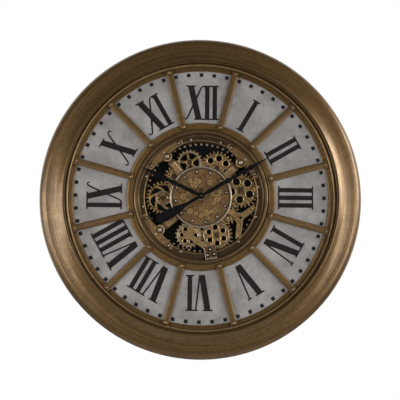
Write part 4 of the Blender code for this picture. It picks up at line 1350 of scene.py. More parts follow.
@dataclass
class Window:
    """The stepped bezel round the gear window with its screws, the plate and the fixed toothed ring."""

    skirt: Point = (150.92, 152.52)
    ledge: Point = (140.1, 38.8)
    ledge_front: float = 41.3
    rim: float = 166.12
    rim_front: float = 53.7
    crown: float = 159.4
    cove_drop: float = 0.8
    web: float = 5.2
    lip_width: float = 2.8
    inlay_inner: float = 143.4
    inlay_outer: float = 152.0
    flange: float = 178.42
    flange_depths: Point = (41.4, 43.4)
    foot: float = 22.0
    screw_radius: float = 145.6
    screw: float = 2.9
    first_screw: float = 19.5
    cups: Point = (5.0, 5.8)
    cover_screw: float = 17.5
    teeth: int = 60
    ring_outer: float = 150.5
    ring_root: float = 139.6
    ring_tip: float = 132.6
    ring_depths: Point = (22.0, 25.0)

    def bezel(self) -> None:
        """Rim, steep cove and ledge, and the skirt down to the plate."""
        inner, outer = self.skirt
        edge, under = self.ledge
        top, front = self.ledge_front, self.rim_front
        flange_back, flange_front = self.flange_depths
        cove_top = front - self.cove_drop
        profile = [(self.rim, flange_front), (self.rim, front - 1.6), (self.rim - 0.9, front - 0.5)]
        profile += [(self.rim - 2.4, front), (self.crown + 1.2, front), (self.crown + 0.3, front - 0.3)]
        for step in range(11):
            turn = math.radians(9 * step)
            across = outer + (self.crown - outer) * math.cos(turn)
            profile.append((across, cove_top - (cove_top - top) * math.sin(turn)))
        profile += [(edge, top), (edge, under), (inner, under), (inner, self.foot)]
        profile += [(outer, self.foot), (outer, under), (self.rim - self.web, flange_back)]
        profile += [(self.flange, flange_back), (self.flange, flange_front)]
        present(turned(profile, 160), "stepped_bezel", OLIVE, ["window_bezel"])

    def ledge_rings(self) -> None:
        """The dark inlay on the ledge and the bright lip along its edge."""
        edge, top = self.ledge[0], self.ledge_front
        inlay = washer((self.inlay_inner, self.inlay_outer), (top - 0.4, top + 0.35), 0.3, segments=128)
        present(inlay, "ledge_inlay", DARK_BRASS)
        half = self.lip_width / 2
        dome = arc((edge + half, top + 0.1), half, 0, 180, 8)
        lip = [(edge, top - 0.6), (edge + 2 * half, top - 0.6), *dome]
        present(turned(lip, 160), "window_lip", LIP_BRASS)

    def screws(self) -> None:
        """Domed screws in dark cups: twelve along the ledge, and one at each end of each cover plate."""
        plain, wide = self.cups
        places = [(self.first_screw + 30 * index, self.ledge_front, plain) for index in range(12)]
        for axis in SEGMENT_ANGLES.values():
            sides = (axis - self.cover_screw, axis + self.cover_screw)
            places += [(side, self.ledge_front + 1.0, wide) for side in sides]
        heads, cups = [], []
        for angle, base, size in places:
            at = polar(self.screw_radius, angle)
            cups.append(washer((2.6, size), (base - 0.4, base + 0.9), 0.3, at, dip=0.5))
            heads.append(screw_head(self.screw, base, 2.5, at))
        present(join(heads), "ledge_screws", PALE_WIRE)
        present(join(cups), "screw_cups", DARK_BRASS)

    def plate_piece(self) -> None:
        """The dark plate behind the gears, its edges softened."""
        item = copy_of_node("module_plate", 0.3, 1)
        present(item, "works_plate", PLATE_PAINT, ["module_plate"])

    def toothed_ring(self) -> None:
        """Ring with rounded inward teeth, and pale domes on their tips as painted highlights."""
        root, tip = self.ring_root, self.ring_tip
        steps = ((root, -2.3), (root - 3.0, -1.7), (tip + 1.2, -1.35), (tip, -0.7))
        centres = [360 * tooth / self.teeth for tooth in range(self.teeth)]
        inside = []
        for centre in centres:
            inside += [polar(radius, centre + turn) for radius, turn in steps]
            inside += [polar(radius, centre - turn) for radius, turn in reversed(steps)]
        back, front = self.ring_depths
        ring = plate(arc((0.0, 0.0), self.ring_outer, 0, 357.5, 143), back, front)
        cut(ring, [plate(inside, back - 1, front + 1)])
        present(soften(ring, 0.4, 2, 40.0), "toothed_ring", DARK_BRASS, ["ring_gear"])
        # Pale domes on the tooth tips are painted highlights.
        tip_highlights = spread(screw_head(2.7, front, 0.9, (0.0, tip + 2.4)), centres)
        present(tip_highlights, "tooth_tip_highlights", PALE_WIRE)

    def build(self) -> None:
        """Builds the bezel, its ledge and screws, the plate and the toothed ring."""
        self.bezel()
        self.ledge_rings()
        self.screws()
        self.plate_piece()
        self.toothed_ring()


class Web(Enum):
    """How a wheel's web is opened."""

    HOLES = "holes"
    ARMS = "arms"


@dataclass
class Wheel:
    """One gear of the train and the openings in its web."""

    place: str
    teeth: int
    bearing: float
    web: Web
    count: int
    reach: float
    size: float
    twist: float = 0.0
    rings: tuple[Point, ...] = ()
    pale: tuple[Point, ...] = ()
    backed: bool = False
    centre: Point = (0.0, 0.0)
    turn: float = 0.0

    @property
    def drives(self) -> bool:
        """Whether it stands on the motor's shaft."""
        return self.place == "drive"


@dataclass
class GearTrain:
    """Eight meshed wheels on their posts."""

    module: float = 3.08
    start: Point = (-94.556, -3.08)
    addendum: float = 0.95
    dedendum: float = 1.25
    pressure: float = 20.0
    backlash: float = 0.5
    back: float = 26.0
    front: float = 30.0
    head_back: float = 30.3
    head_front: float = 32.1
    flank_steps: tuple[float, ...] = (0.0, 0.3, 0.65, 1.0)
    post_bore: float = 4.32
    shaft_bore: float = 3.32
    backing_inner: float = 9.0
    collar: float = 7.0
    collar_depths: Point = (22.0, 25.7)
    head: float = 6.5
    slot_half: float = 0.7
    slot_depth: float = 0.7
    # Journal's radius, tenon's radius and rear end, of a post and of the motor's shaft
    plain_post: tuple[float, float, float] = (4.0, 2.5, 19.7)
    shaft: tuple[float, float, float] = (3.0, 3.0, 12.4)
    wheels: list[Wheel] = field(
        default_factory=lambda: [
            Wheel("left", 26, 0.0, Web.ARMS, 6, 18.5, 8.4, 34.0, ((10.5, 14.5), (32.4, 34.4)),
                  ((16.0, 18.4),), True),
            Wheel("drive", 14, 64.8, Web.HOLES, 5, 11.6, 2.6, 0.0, ((6.9, 8.0),)),
            Wheel("top_left", 20, 41.9, Web.ARMS, 5, 8.8, 6.0, 0.0, ((7.0, 8.8),), ((25.6, 28.8),)),
            Wheel("top_right", 26, -10.9, Web.HOLES, 7, 25.0, 7.7, 0.0, ((7.2, 10.0), (33.4, 35.6))),
            Wheel("right", 27, -42.3, Web.HOLES, 5, 24.0, 9.4, 0.0, ((7.2, 10.5), (35.0, 36.6)), (), True),
            Wheel("right_idler", 16, -117.8, Web.HOLES, 5, 13.6, 2.8, 0.0, ((7.0, 8.6),)),
            Wheel("bottom_right", 25, -118.5, Web.HOLES, 6, 20.0, 6.6, 0.0, ((7.2, 9.8),), ((30.4, 32.8),)),
            Wheel("bottom_left", 20, 180.7, Web.HOLES, 6, 17.0, 5.3, 0.0, ((7.0, 9.0),), ((25.4, 29.0),)),
        ]
    )

    def lay_out(self) -> None:
        """Places each wheel so that its teeth stand in its neighbour's gaps."""
        centre, turn = self.start, 0.0
        self.wheels[0].centre = centre
        for before, wheel in zip(self.wheels, self.wheels[1:]):
            bearing = math.radians(wheel.bearing)
            centre = around(centre, self.module * (before.teeth + wheel.teeth) / 2, bearing)
            pitches = (bearing - turn) * before.teeth / math.tau
            turn = bearing + math.pi - (0.5 - pitches) * math.tau / wheel.teeth
            wheel.centre, wheel.turn = centre, turn

    def root(self, wheel: Wheel) -> float:
        """Radius at the bottom of the tooth gaps."""
        return self.module * (wheel.teeth / 2 - self.dedendum)

    def half_angle(self, radius: float, teeth: int) -> float:
        """Half the angle that a tooth covers at a radius.

        Args:
            radius: Where the tooth is measured.
            teeth: The wheel's teeth.

        Returns:
            The angle in radians.
        """
        pitch = self.module * teeth / 2
        pressure = math.radians(self.pressure)
        base = pitch * math.cos(pressure)
        here = math.acos(base / max(radius, base))
        full = math.pi / (2 * teeth) + math.tan(pressure) - pressure - math.tan(here) + here
        return full - self.backlash / (2 * pitch)

    def outline(self, wheel: Wheel) -> list[Point]:
        """The toothed outline, with curved flanks.

        Args:
            wheel: The wheel to draw.

        Returns:
            Points (x, z) in order.
        """
        root = self.root(wheel)
        tip = self.module * (wheel.teeth / 2 + self.addendum)
        heights = [root + share * (tip - root) for share in self.flank_steps]
        flank = [(radius, self.half_angle(radius, wheel.teeth)) for radius in heights]
        sides = [(radius, -shift) for radius, shift in flank] + list(reversed(flank))
        points = []
        for tooth in range(wheel.teeth):
            middle = math.tau * tooth / wheel.teeth + wheel.turn
            points += [around(wheel.centre, radius, middle + shift) for radius, shift in sides]
        return points

    def window(self, wheel: Wheel, index: int) -> list[Point]:
        """One opening between two arms, swept from hub to rim.

        Args:
            wheel: The wheel to open.
            index: Which of its openings.

        Returns:
            Points (x, z) in order.
        """
        inner, outer = wheel.reach, self.root(wheel) - self.module
        pitch = 360 / wheel.count

        def side_turn(radius: float, side: int) -> float:
            """Bearing of either side of the opening at a radius.

            Args:
                radius: Distance from the wheel's axis.
                side: 1 or -1 for the side.

            Returns:
                The bearing in radians.
            """
            shrink = math.degrees(math.asin(wheel.size / 2 / radius))
            sweep = wheel.twist * (radius - inner) / (outer - inner)
            return wheel.turn + math.radians(index * pitch + sweep + side * (pitch / 2 - shrink))

        radii = [inner + (outer - inner) * step / 6 for step in range(7)]
        first, last = side_turn(outer, 1), side_turn(outer, -1)
        right = [around(wheel.centre, radius, side_turn(radius, 1)) for radius in radii]
        left = [around(wheel.centre, radius, side_turn(radius, -1)) for radius in reversed(radii)]
        rim = [around(wheel.centre, outer, first + (last - first) * step / 8) for step in range(1, 8)]
        return [*right, *rim, *left]

    def openings(self, wheel: Wheel) -> list[bpy.types.Object]:
        """Cutters for the web and the bore.

        Args:
            wheel: The wheel to open.

        Returns:
            The cutters.
        """
        low, high = self.back - 1, self.front + 2
        radius = self.shaft_bore if wheel.drives else self.post_bore
        bore = bar(radius, low, high, wheel.centre, 32)
        if wheel.web is Web.ARMS:
            return [bore, *(plate(self.window(wheel, index), low, high) for index in range(wheel.count))]
        return [bore, *(bar(wheel.size, low, high, at, 28) for at in self.hole_places(wheel))]

    def raised_ring(self, at: Point, radii: Point, segments: int = 56) -> bpy.types.Object:
        """A low rounded band standing on a wheel's face."""
        return washer(radii, (self.front - 0.5, self.front + 1.3), 0.7, at, segments, 3)

    def hole_places(self, wheel: Wheel) -> list[Point]:
        """Centres of the round holes in a wheel's web."""
        turns = [wheel.turn + math.tau * (index + 0.5) / wheel.count for index in range(wheel.count)]
        return [around(wheel.centre, wheel.reach, turn) for turn in turns]

    def wheel_piece(self, wheel: Wheel) -> None:
        """Cuts, softens and decorates one wheel.

        Args:
            wheel: The wheel to make.
        """
        gear = cut(plate(self.outline(wheel), self.back, self.front), self.openings(wheel))
        soften(gear, 0.35, 2, 35.0)
        rings = [self.raised_ring(wheel.centre, radii) for radii in wheel.rings]
        node = "drive_gear" if wheel.drives else f"gear_{wheel.place}"
        body = f"gear_{wheel.place}_body"
        present(join([gear, *rings]), f"cut_{node}", WORKS_BRASS, [node], body)
        if wheel.web is Web.HOLES:
            # Raised rims round the holes in bright brass: real rims, their pale colour partly a painted
            # highlight for the glints on them.
            radii = (wheel.size - 0.1, wheel.size + 1.9)
            rims_and_glints = join([self.raised_ring(at, radii, 24) for at in self.hole_places(wheel)])
            present(rims_and_glints, f"hole_rims_and_glints_{wheel.place}", BRIGHT_BRASS, body=body)
        if wheel.pale:
            bands = join([self.raised_ring(wheel.centre, radii) for radii in wheel.pale])
            present(bands, f"rim_{wheel.place}", PALE_WIRE, body=body)
        if wheel.backed:
            radii = (self.backing_inner, self.root(wheel) - 2.4)
            low = self.back + 0.4
            disc = washer(radii, (low, low + 0.8), 0.2, wheel.centre, 56)
            present(disc, f"backing_{wheel.place}", PLATE_PAINT, body=body)

    def post(self, wheel: Wheel) -> None:
        """Post with collar, journal and slotted head; the drive wheel has the motor's shaft instead.

        Args:
            wheel: The wheel that turns on it.
        """
        journal, tenon, start = self.shaft if wheel.drives else self.plain_post
        low, top = self.head_back, self.head_front
        seat, shoulder = self.collar_depths
        head, half, length = self.head, self.slot_half, self.head + 1.0
        profile = [(0.0, start), (tenon, start), (tenon, seat), (self.collar, seat), (self.collar, shoulder)]
        profile += [(journal, shoulder), (journal, low), (head, low), (head, top - 0.9)]
        profile += [(head - 0.4, top - 0.35), (head - 1.3, top), (0.0, top)]
        groove = block((-length, top - self.slot_depth, -half), (length, top + 1.0, half))
        swung(groove, math.degrees(wheel.turn * 3.0))
        item = moved(cut(turned(profile, 32), [groove]), wheel.centre)
        if wheel.drives:
            present(item, "turned_motor_shaft", DARK_BRASS, ["motor_shaft"], "gear_drive_body")
        else:
            present(item, f"turned_post_{wheel.place}", DARK_BRASS, [f"post_{wheel.place}"])

    def build(self) -> None:
        """Lays out the train and builds every wheel and post."""
        self.lay_out()
        for wheel in self.wheels:
            self.wheel_piece(wheel)
            self.post(wheel)


@dataclass
class Bridges:
    """Segment plates with their bosses, the straps, the Y bridge, the lower bridge and the bracket."""

    chord: float = 131.8
    arc_radius: float = 149.9
    boss: float = 11.0
    segment_depths: Point = (35.5, 38.5)
    strap_depths: Point = (32.7, 35.2)
    cover_depths: Point = (38.4, 42.3)
    cover_radius: float = 151.4
    cover_spread: float = 21.5
    cover_end: float = 52.6
    cover_boss: float = 12.6
    pad_width: float = 13.6
    pad_reach: Point = (81.0, 110.5)
    y_hub: Point = (111.0, 117.0)
    y_feet: tuple[Point, ...] = ((134.0, 101.5), (84.0, 116.3), (134.0, 135.0))
    arm_half: float = 7.2
    arm_hollow: float = 18.0
    bracket_angle: float = 170.0
    bracket_half: float = 14.5
    bracket_start: float = 128.0
    bracket_end: float = 157.3
    bracket_screws: tuple[Point, ...] = ((0.0, 133.6), (-8.4, 146.1), (8.4, 146.1))
    pad_frame: float = 1.7
    pad_sink: float = 0.7
    washer_radius: float = 8.6
    washer_height: float = 0.5
    y_hole: float = 3.4
    y_ring: Point = (3.6, 7.0)

    def segment(self) -> bpy.types.Object:
        """A segment of a disc with a round boss on its chord, at twelve o'clock.

        Returns:
            The plate.
        """
        half = math.sqrt(self.arc_radius**2 - self.chord**2)
        start = math.degrees(math.atan2(self.chord, half))
        outline = arc((0.0, 0.0), self.arc_radius, start, 180 - start, 24)
        outline += arc((0.0, self.chord), self.boss, 180, 360, 20)
        return soften(plate(outline, *self.segment_depths), 0.5)

    def cover(self) -> bpy.types.Object:
        """The cover over a segment and the ledge beside it, at twelve o'clock.

        Returns:
            The cover.
        """
        low, high = self.cover_depths
        turns = [self.cover_spread * (step / 10 - 1) for step in range(21)]
        outline = [polar(self.cover_radius, turn) for turn in turns]
        outline.append((self.cover_end, self.chord))
        outline += arc((0.0, self.chord), self.cover_boss, 0, -180, 24)
        outline.append((-self.cover_end, self.chord))
        return soften(plate(outline, low, high), 0.45)

    def segment_trim(self) -> bpy.types.Object:
        """The rubbed rib that follows the chord and goes round the boss.

        Returns:
            The rib.
        """
        half, front = self.cover_end - 0.6, self.cover_depths[1]
        low, high = self.chord + 0.2, self.chord + 2.4
        middle, boss = (0.0, self.chord + 1.2), self.cover_boss
        outer = [(-half, low), *arc((0.0, self.chord), boss - 0.2, 180, 360, 24), (half, low)]
        inner = [(half, high), *arc(middle, boss - 2.4, 350, 190, 24), (-half, high)]
        return soften(plate([*outer, *inner], front - 0.3, front + 0.8), 0.35)

    def segment_screw(self) -> list[bpy.types.Object]:
        """The dark washer on the boss and its large domed screw.

        Returns:
            The washer and the screw.
        """
        front, at = self.cover_depths[1], (0.0, self.chord)
        top = front + self.washer_height
        disc = washer((0.0, self.washer_radius), (front - 0.4, top), 0.3, at, 40)
        return [disc, screw_head(5.2, top, 3.6, at)]

    def pad(self) -> bpy.types.Object:
        """The raised, framed pad on a strap, at twelve o'clock.

        Returns:
            The pad.
        """
        half, front = self.pad_width / 2, self.strap_depths[1]
        low, high = self.pad_reach

        def work() -> None:
            """Sinks the face inside a frame."""
            bpy.ops.mesh.inset(thickness=self.pad_frame * MM)
            bpy.ops.transform.translate(value=(0.0, self.pad_sink * MM, 0.0))

        item = block((-half, front - 0.3, low), (half, front + 1.5, high))
        edit_faces(item, lambda face: face.normal.y < -0.9, work)
        return soften(item, 0.3, 2, 20.0)

    def star(self, hub: Point, tips: Sequence[Point]) -> list[Point]:
        """Outline of arms that meet at a hub with hollow curves between them.

        Args:
            hub: Where the arms meet.
            tips: The arms' ends, anticlockwise.

        Returns:
            The outline's points.
        """
        half, hollow = self.arm_half, self.arm_hollow
        bearings = [math.atan2(tip[1] - hub[1], tip[0] - hub[0]) for tip in tips]
        points = []
        for index, (tip, bearing) in enumerate(zip(tips, bearings)):
            degrees = math.degrees(bearing)
            points += arc(tip, half, degrees - 90, degrees + 90, 8)
            between = (bearings[(index + 1) % len(bearings)] - bearing) % math.tau
            centre = around(hub, (half + hollow) / math.sin(between / 2), bearing + between / 2)
            points += arc(centre, hollow, degrees + 270, degrees + 90 + math.degrees(between), 8)
        return points

    def y_bridge(self) -> None:
        """Three-armed bridge with a raised ring round its hole and screws at its feet."""
        hub = polar(*self.y_hub)
        back, front = self.strap_depths
        feet = [polar(*foot) for foot in self.y_feet]
        item = cut(plate(self.star(hub, feet), back, front), [bar(self.y_hole, back - 1, front + 1, hub)])
        soften(item, 0.5)
        ring = washer(self.y_ring, (back + 0.1, front + 0.9), 0.4, hub, 40)
        heads = [screw_head(2.8, front, 1.8, foot, 30.0) for foot in feet]
        present(join([item, ring, *heads]), "three_armed_bridge", WORKS_BRASS, ["y_bridge"])

    def lower(self) -> None:
        """Lower bridge, and the dark bracket over the ledge with its three screws, cups, and pale strips
        along its left and bottom edges as a painted highlight.
        """
        item = copy_of_node("lower_bridge", 0.5)
        present(item, "lower_arm", WORKS_BRASS, ["lower_bridge"])
        bracket = copy_of_node("bottom_bracket", 0.6)
        front = -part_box("bottom_bracket")[0].y / MM
        low, top = front - 0.4, front + 1.2
        half, outer = self.bracket_half, self.bracket_end
        inner_side, inner_end = half - 1.6, outer - 2.6
        heads = [screw_head(2.9, front, 2.6, at) for at in self.bracket_screws]
        cups = [washer((2.6, 5.9), (low, front + 0.7), 0.3, at, dip=0.4) for at in self.bracket_screws]
        # Pale strips along the bracket's left and bottom edges are a painted highlight where the lamps catch
        # them.
        edge_highlights = [
            soften(block((-half, low, inner_end), (half, top, outer)), 0.4),
            soften(block((inner_side, low, self.bracket_start), (half, top, inner_end + 0.3)), 0.4),
        ]
        trim, dark = (swung(join(items), self.bracket_angle) for items in ([*heads, *edge_highlights], cups))
        present(bracket, "corner_bracket", DARK_BRASS, ["bottom_bracket"])
        present(trim, "bracket_screws_and_edge_highlights", PALE_WIRE)
        present(dark, "bracket_cups", PLATE_PAINT)

    def build(self) -> None:
        """Builds every bridge."""
        patterns = [self.segment(), self.cover(), self.segment_trim(), *self.segment_screw(), self.pad()]
        plain, cover, trim, disc, dome, pad = patterns
        for place, angle in SEGMENT_ANGLES.items():
            node, strap = f"segment_plate_{place}", f"strap_{place}"
            present(twin(plain, angle), f"bossed_{node}", DISC_BRASS, [node])
            present(twin(cover, angle), f"cover_{place}", DISC_BRASS)
            present(twin(trim, angle), f"chord_rib_{place}", BRIGHT_BRASS)
            present(twin(disc, angle), f"boss_washer_{place}", DARK_BRASS)
            present(twin(dome, angle), f"boss_screw_{place}", PALE_WIRE)
            present(copy_of_node(strap, 0.5), f"flat_{strap}", STRAP_BRASS, [strap])
            present(twin(pad, angle), f"pad_{place}", BRIGHT_BRASS)
        for item in patterns:
            bpy.data.objects.remove(item)
        self.y_bridge()
        self.lower()


@dataclass
class CentreDisc:
    """The disc at the centre with its studs and low gear reliefs, and the pale ring round it."""

    radius: float = 73.0
    hole: float = 5.5
    back: float = 35.5
    front: float = 38.5
    # Inner radius of the dark ring of painted shade at the disc's edge
    shade_ring_inner: float = 69.2
    rim: Point = (73.2, 77.9)
    rim_top: float = 41.7
    stud_radius: float = 64.0
    first_stud: float = 19.7
    rim_round: float = 2.3
    post_place: Point = (0.0, 18.0)
    reliefs: tuple[tuple[float, float, float, int], ...] = (
        (-17.0, 30.0, 9.5, 12), (-6.0, 38.5, 6.5, 9), (-27.0, 40.0, 5.5, 8), (-13.0, 44.5, 5.0, 8),
        (22.0, 36.0, 7.0, 10), (33.0, 26.0, 5.0, 8), (41.0, -2.0, 9.5, 12), (29.0, 6.0, 6.0, 9),
        (47.0, 13.0, 5.5, 8), (33.0, -15.0, 6.0, 9), (-45.0, 0.0, 8.5, 12), (-33.0, 8.0, 5.5, 8),
        (-33.0, -10.0, 6.0, 9), (-27.0, -36.0, 7.5, 10), (-38.0, -28.0, 5.0, 8), (14.0, -40.0, 9.0, 12),
        (1.0, -47.0, 6.0, 9), (27.0, -36.0, 5.5, 8), (20.0, -53.0, 4.5, 8), (-12.0, -42.0, 5.0, 8),
    )

    def relief(self, x: float, z: float, radius: float, teeth: int) -> bpy.types.Object:
        """A low embossed gear with three holes and a boss.

        Args:
            x: Its centre's x.
            z: Its centre's z.
            radius: Its outer radius.
            teeth: How many teeth it has.

        Returns:
            The relief.
        """
        middle, front = (x, z), self.front
        pitch = 360 / teeth
        outline = []
        for tooth in range(teeth):
            for reach, share in ((0.82, -0.42), (1.0, -0.24), (1.0, 0.24), (0.82, 0.42)):
                outline.append(around(middle, reach * radius, math.radians((tooth + share) * pitch)))
        item = plate(outline, front - 0.3, front + 0.7)
        holes = [around(middle, radius * 0.46, 0.4 + step * math.tau / 3) for step in range(3)]
        cut(item, [bar(radius * 0.24, front - 1, front + 2, at, 10) for at in holes])
        return join([item, bar(radius * 0.16, front + 0.5, front + 1.1, middle, 12)])

    def build(self) -> None:
        """Builds the disc, its reliefs, studs and post, and the ring."""
        back, front, outer = self.back, self.front, self.radius
        disc = washer((self.hole, outer), (back, front), 0.4, segments=112)
        present(disc, "embossed_disc", DISC_BRASS, ["centre_disc"])
        reliefs = join([self.relief(*place) for place in self.reliefs])
        present(reliefs, "disc_reliefs", RELIEF_GOLD)
        low, top = front - 0.3, front + 0.15
        discs = [bar(radius * 1.25, low, top, (x, z), 24) for x, z, radius, _ in self.reliefs]
        shadows = join([soften(item, 0.1, 1) for item in discs])
        present(shadows, "relief_shadows", DARK_BRASS)
        # A dark ring at the disc's edge, inside the pale ring, is painted shade where the pale ring shades
        # the disc.
        edge = washer((self.shade_ring_inner, outer), (low, front + 0.2), 0.1, segments=112, steps=1, dip=0.1)
        present(edge, "disc_edge_painted_shade", DARK_BRASS)
        at = (0.0, self.stud_radius)
        angles = [self.first_stud + 30 * index for index in range(12)]
        cups = spread(washer((2.6, 5.4), (low, front + 0.5), 0.25, at), angles)
        present(cups, "stud_washers", DARK_BRASS)
        present(spread(screw_head(2.7, front, 1.9, at), angles), "disc_studs", PALE_WIRE)
        top, seat = front + 2.6, front + 1.4
        socket = rounded([(0.0, low), (3.6, low), (3.6, top), (1.6, top), (1.6, seat), (0.0, seat)], 0.2, 1)
        present(moved(turned(socket, 24), self.post_place), "disc_post", DARK_BRASS)
        inner, outer = self.rim
        middle = ((inner + outer) / 2, self.rim_top - self.rim_round)
        section = [(inner, back), (outer, back), *arc(middle, self.rim_round, 0, 180, 10)]
        present(turned(section, 128), "pale_ring", PALE_WIRE, ["disc_rim"])


@dataclass(frozen=True)
class Swell:
    """A diamond, or a round bead, on the slim part of a hand."""

    reach: float
    half: float
    length: float
    round_bead: bool = False

    def stations(self, neck: float) -> list[Point]:
        """Its (distance, half width) stations between slim parts.

        Args:
            neck: Half width of the slim parts.

        Returns:
            The stations in order.
        """
        if self.round_bead:
            turns = [math.radians(turn) for turn in range(-60, 61, 20)]
            rise, start = self.half - neck, self.reach
            return [(start + self.length * math.sin(turn), neck + rise * math.cos(turn)) for turn in turns]
        shoulder, wide = 0.2 * self.length, 0.85 * self.half
        start, end = self.reach - self.length, self.reach + self.length
        sides = [(start, neck), (self.reach - shoulder, wide), (self.reach, self.half)]
        return [*sides, (self.reach + shoulder, wide), (end, neck)]


@dataclass
class Hands:
    """The black hands, their shafts and the nut."""

    minute_angle: float = 59.5
    hour_angle: float = 295.3
    minute_depths: Point = (63.0, 64.5)
    hour_depths: Point = (60.5, 62.0)
    minute_bore: float = 2.3
    hour_bore: float = 3.4
    minute_hub: float = 8.2
    hour_hub: float = 8.35
    neck: float = 3.0
    paddle: Point = (-128.5, -20.0)
    paddle_half: float = 13.0
    paddle_neck: float = 4.4
    paddle_end: float = 0.8
    minute_parts: tuple[Point | Swell, ...] = (
        (26.0, 5.0), (62.0, 4.8), Swell(75.0, 7.8, 9.0), Swell(95.0, 5.6, 4.6, True),
        Swell(108.0, 4.6, 4.0, True), Swell(142.0, 6.2, 5.4, True), (172.0, 1.8), (197.0, 0.6),
    )
    hour_parts: tuple[Point | Swell, ...] = (
        (24.0, 4.9), (51.0, 4.7), Swell(75.0, 7.9, 9.0), Swell(101.0, 5.6, 4.6, True),
        Swell(121.0, 9.2, 11.0), Swell(138.0, 4.2, 3.8, True), (150.0, 1.7), (160.0, 0.6),
    )
    hour_start: Point = (-8.3, 0.5)
    pipe: tuple[Point, ...] = ((2.25, 30.2), (3.05, 30.2), (3.05, 62.4), (2.25, 62.4))
    spindle: tuple[Point, ...] = ((0.0, 30.2), (1.88, 30.2), (1.88, 67.3), (1.5, 67.7), (0.0, 67.7))
    nut: tuple[Point, ...] = (
        (0.0, 67.8), (2.1, 67.8), (2.1, 64.8), (4.7, 64.8), (4.8, 67.0), (4.2, 67.6), (2.3, 68.2),
        (2.3, 69.2), (1.9, 69.6), (0.0, 69.6),
    )
    tip: Point = (1.5, 69.5)

    def blade(self, stations: Sequence[Point], depths: Point, hole: float, angle: float) -> bpy.types.Object:
        """A symmetric blade from (distance, half width) stations, cut from sheet and softened.

        Args:
            stations: Distances from the hub with half widths.
            depths: Rear and front depth.
            hole: Radius of its hole.
            angle: Its clock angle.

        Returns:
            The blade.
        """
        outline = [(half, reach) for reach, half in stations]
        outline += [(-half, reach) for reach, half in reversed(stations)]
        item = cut(plate(outline, *depths), [bar(hole, depths[0] - 1, depths[1] + 1)])
        return swung(soften(item, 0.35), angle)

    def hub(self, radius: float) -> list[Point]:
        """Stations of the round hub."""
        return [polar(radius, turn) for turn in range(-70, 71, 14)]

    def slim(self, parts: Sequence[Point | Swell]) -> list[Point]:
        """Stations of the slim part of a hand.

        Args:
            parts: Its plain stations and its swells, from the hub outwards.

        Returns:
            The stations in order.
        """
        stations = []
        for part in parts:
            stations += part.stations(self.neck) if isinstance(part, Swell) else [part]
        return stations

    def tail(self) -> list[Point]:
        """Stations of the minute hand's paddle, from its end to the hub.

        Returns:
            The stations in order.
        """
        start, end = self.paddle
        stations = []
        for step in range(21):
            share = step / 20
            leaf = self.paddle_half * math.sin(math.pi * share**0.55) ** 1.1
            half = max(leaf, self.paddle_end, self.paddle_neck * share)
            stations.append((start + (end - start) * share, half))
        return stations

    def build(self) -> None:
        """Builds both hands, the pipe, the spindle and the nut."""
        stations = [*self.tail(), *self.hub(self.minute_hub), *self.slim(self.minute_parts)]
        hand = self.blade(stations, self.minute_depths, self.minute_bore, self.minute_angle)
        present(hand, "leaf_minute_hand", HAND_PAINT, ["minute_hand"], "minute")
        stations = [self.hour_start, *self.hub(self.hour_hub), *self.slim(self.hour_parts)]
        hand = self.blade(stations, self.hour_depths, self.hour_bore, self.hour_angle)
        present(hand, "slim_hour_hand", HAND_PAINT, ["hour_hand"], "hour")
        present(turned(self.pipe, 32), "turned_hour_pipe", PALE_WIRE, ["hour_pipe"], "hour")
        spindle = turned(self.spindle, 24)
        present(spindle, "turned_spindle", PALE_WIRE, ["minute_spindle"], "minute")
        present(turned(self.nut, 32), "black_nut", HAND_PAINT, ["hand_nut"], "minute")
        radius, middle = self.tip
        foot = middle - 0.5
        dome = [*arc((0.0, middle), radius, 0, 90, 6)[:-1], (0.0, middle + radius)]
        tip = turned([(0.0, foot), (radius, foot), *dome], 24)
        present(tip, "nut_tip", STEEL, body="minute")


@dataclass
class BackWorks:
    """What shows from behind: the motor, the movement, their cells, the knob and the hanger."""

    # A cell's section, as (radius, distance from its flat end)
    section: tuple[Point, ...] = (
        (0.0, 0.0), (6.25, 0.0), (7.15, 0.7), (7.15, 48.1), (6.35, 48.9), (2.8, 48.9), (2.8, 49.9),
        (2.4, 50.2), (0.0, 50.2),
    )
    knob: tuple[Point, ...] = (
        (0.0, 14.8), (7.0, 14.8), (8.0, 15.8), (8.0, 18.4), (2.1, 18.4), (2.1, 21.6), (0.0, 21.6),
    )
    knob_place: Point = (12.0, 11.0)
    grips: int = 18
    grip: float = 0.9
    grip_radius: float = 8.3
    grip_depths: Point = (14.0, 17.2)
    cells: tuple[str, ...] = ("motor_battery_lower", "motor_battery_upper", "movement_battery")

    def cell(self, node: str) -> None:
        """A round cell with its nub, crimped ends and a plain jacket.

        Args:
            node: The CAD cell that it replaces.
        """
        low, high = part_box(node)
        item = turned(self.section, 36)
        item.data.transform(Matrix.Rotation(math.radians(90), 4, "Z"))
        item.data.transform(Matrix.Translation((low.x, (low.y + high.y) / 2, (low.z + high.z) / 2)))
        present(item, f"round_{node}", CELL_JACKET, [node])

    def build(self) -> None:
        """Softens the cases and turns the round pieces."""
        present(copy_of_node("motor_case", 0.6), "gear_motor_case", PLASTIC, ["motor_case"])
        present(copy_of_node("movement_case", 0.5), "quartz_case", PLASTIC, ["movement_case"])
        for node in self.cells:
            self.cell(node)
        slider = copy_of_node("switch_slider", 0.2)
        present(slider, "ridged_slider", STEEL, ["switch_slider"], "switch")
        present(copy_of_node("hanger", 0.3), "keyhole_plate", STEEL, ["hanger"])
        present(copy_of_node("bush_nut", 0.4), "hex_nut", PALE_WIRE, ["bush_nut"])
        places = [polar(self.grip_radius, 360 * index / self.grips) for index in range(self.grips)]
        knob = cut(turned(self.knob, 40), [bar(self.grip, *self.grip_depths, at, 8) for at in places])
        present(moved(knob, self.knob_place), "knurled_knob", PLASTIC, ["setting_knob"], "knob")


# Studio


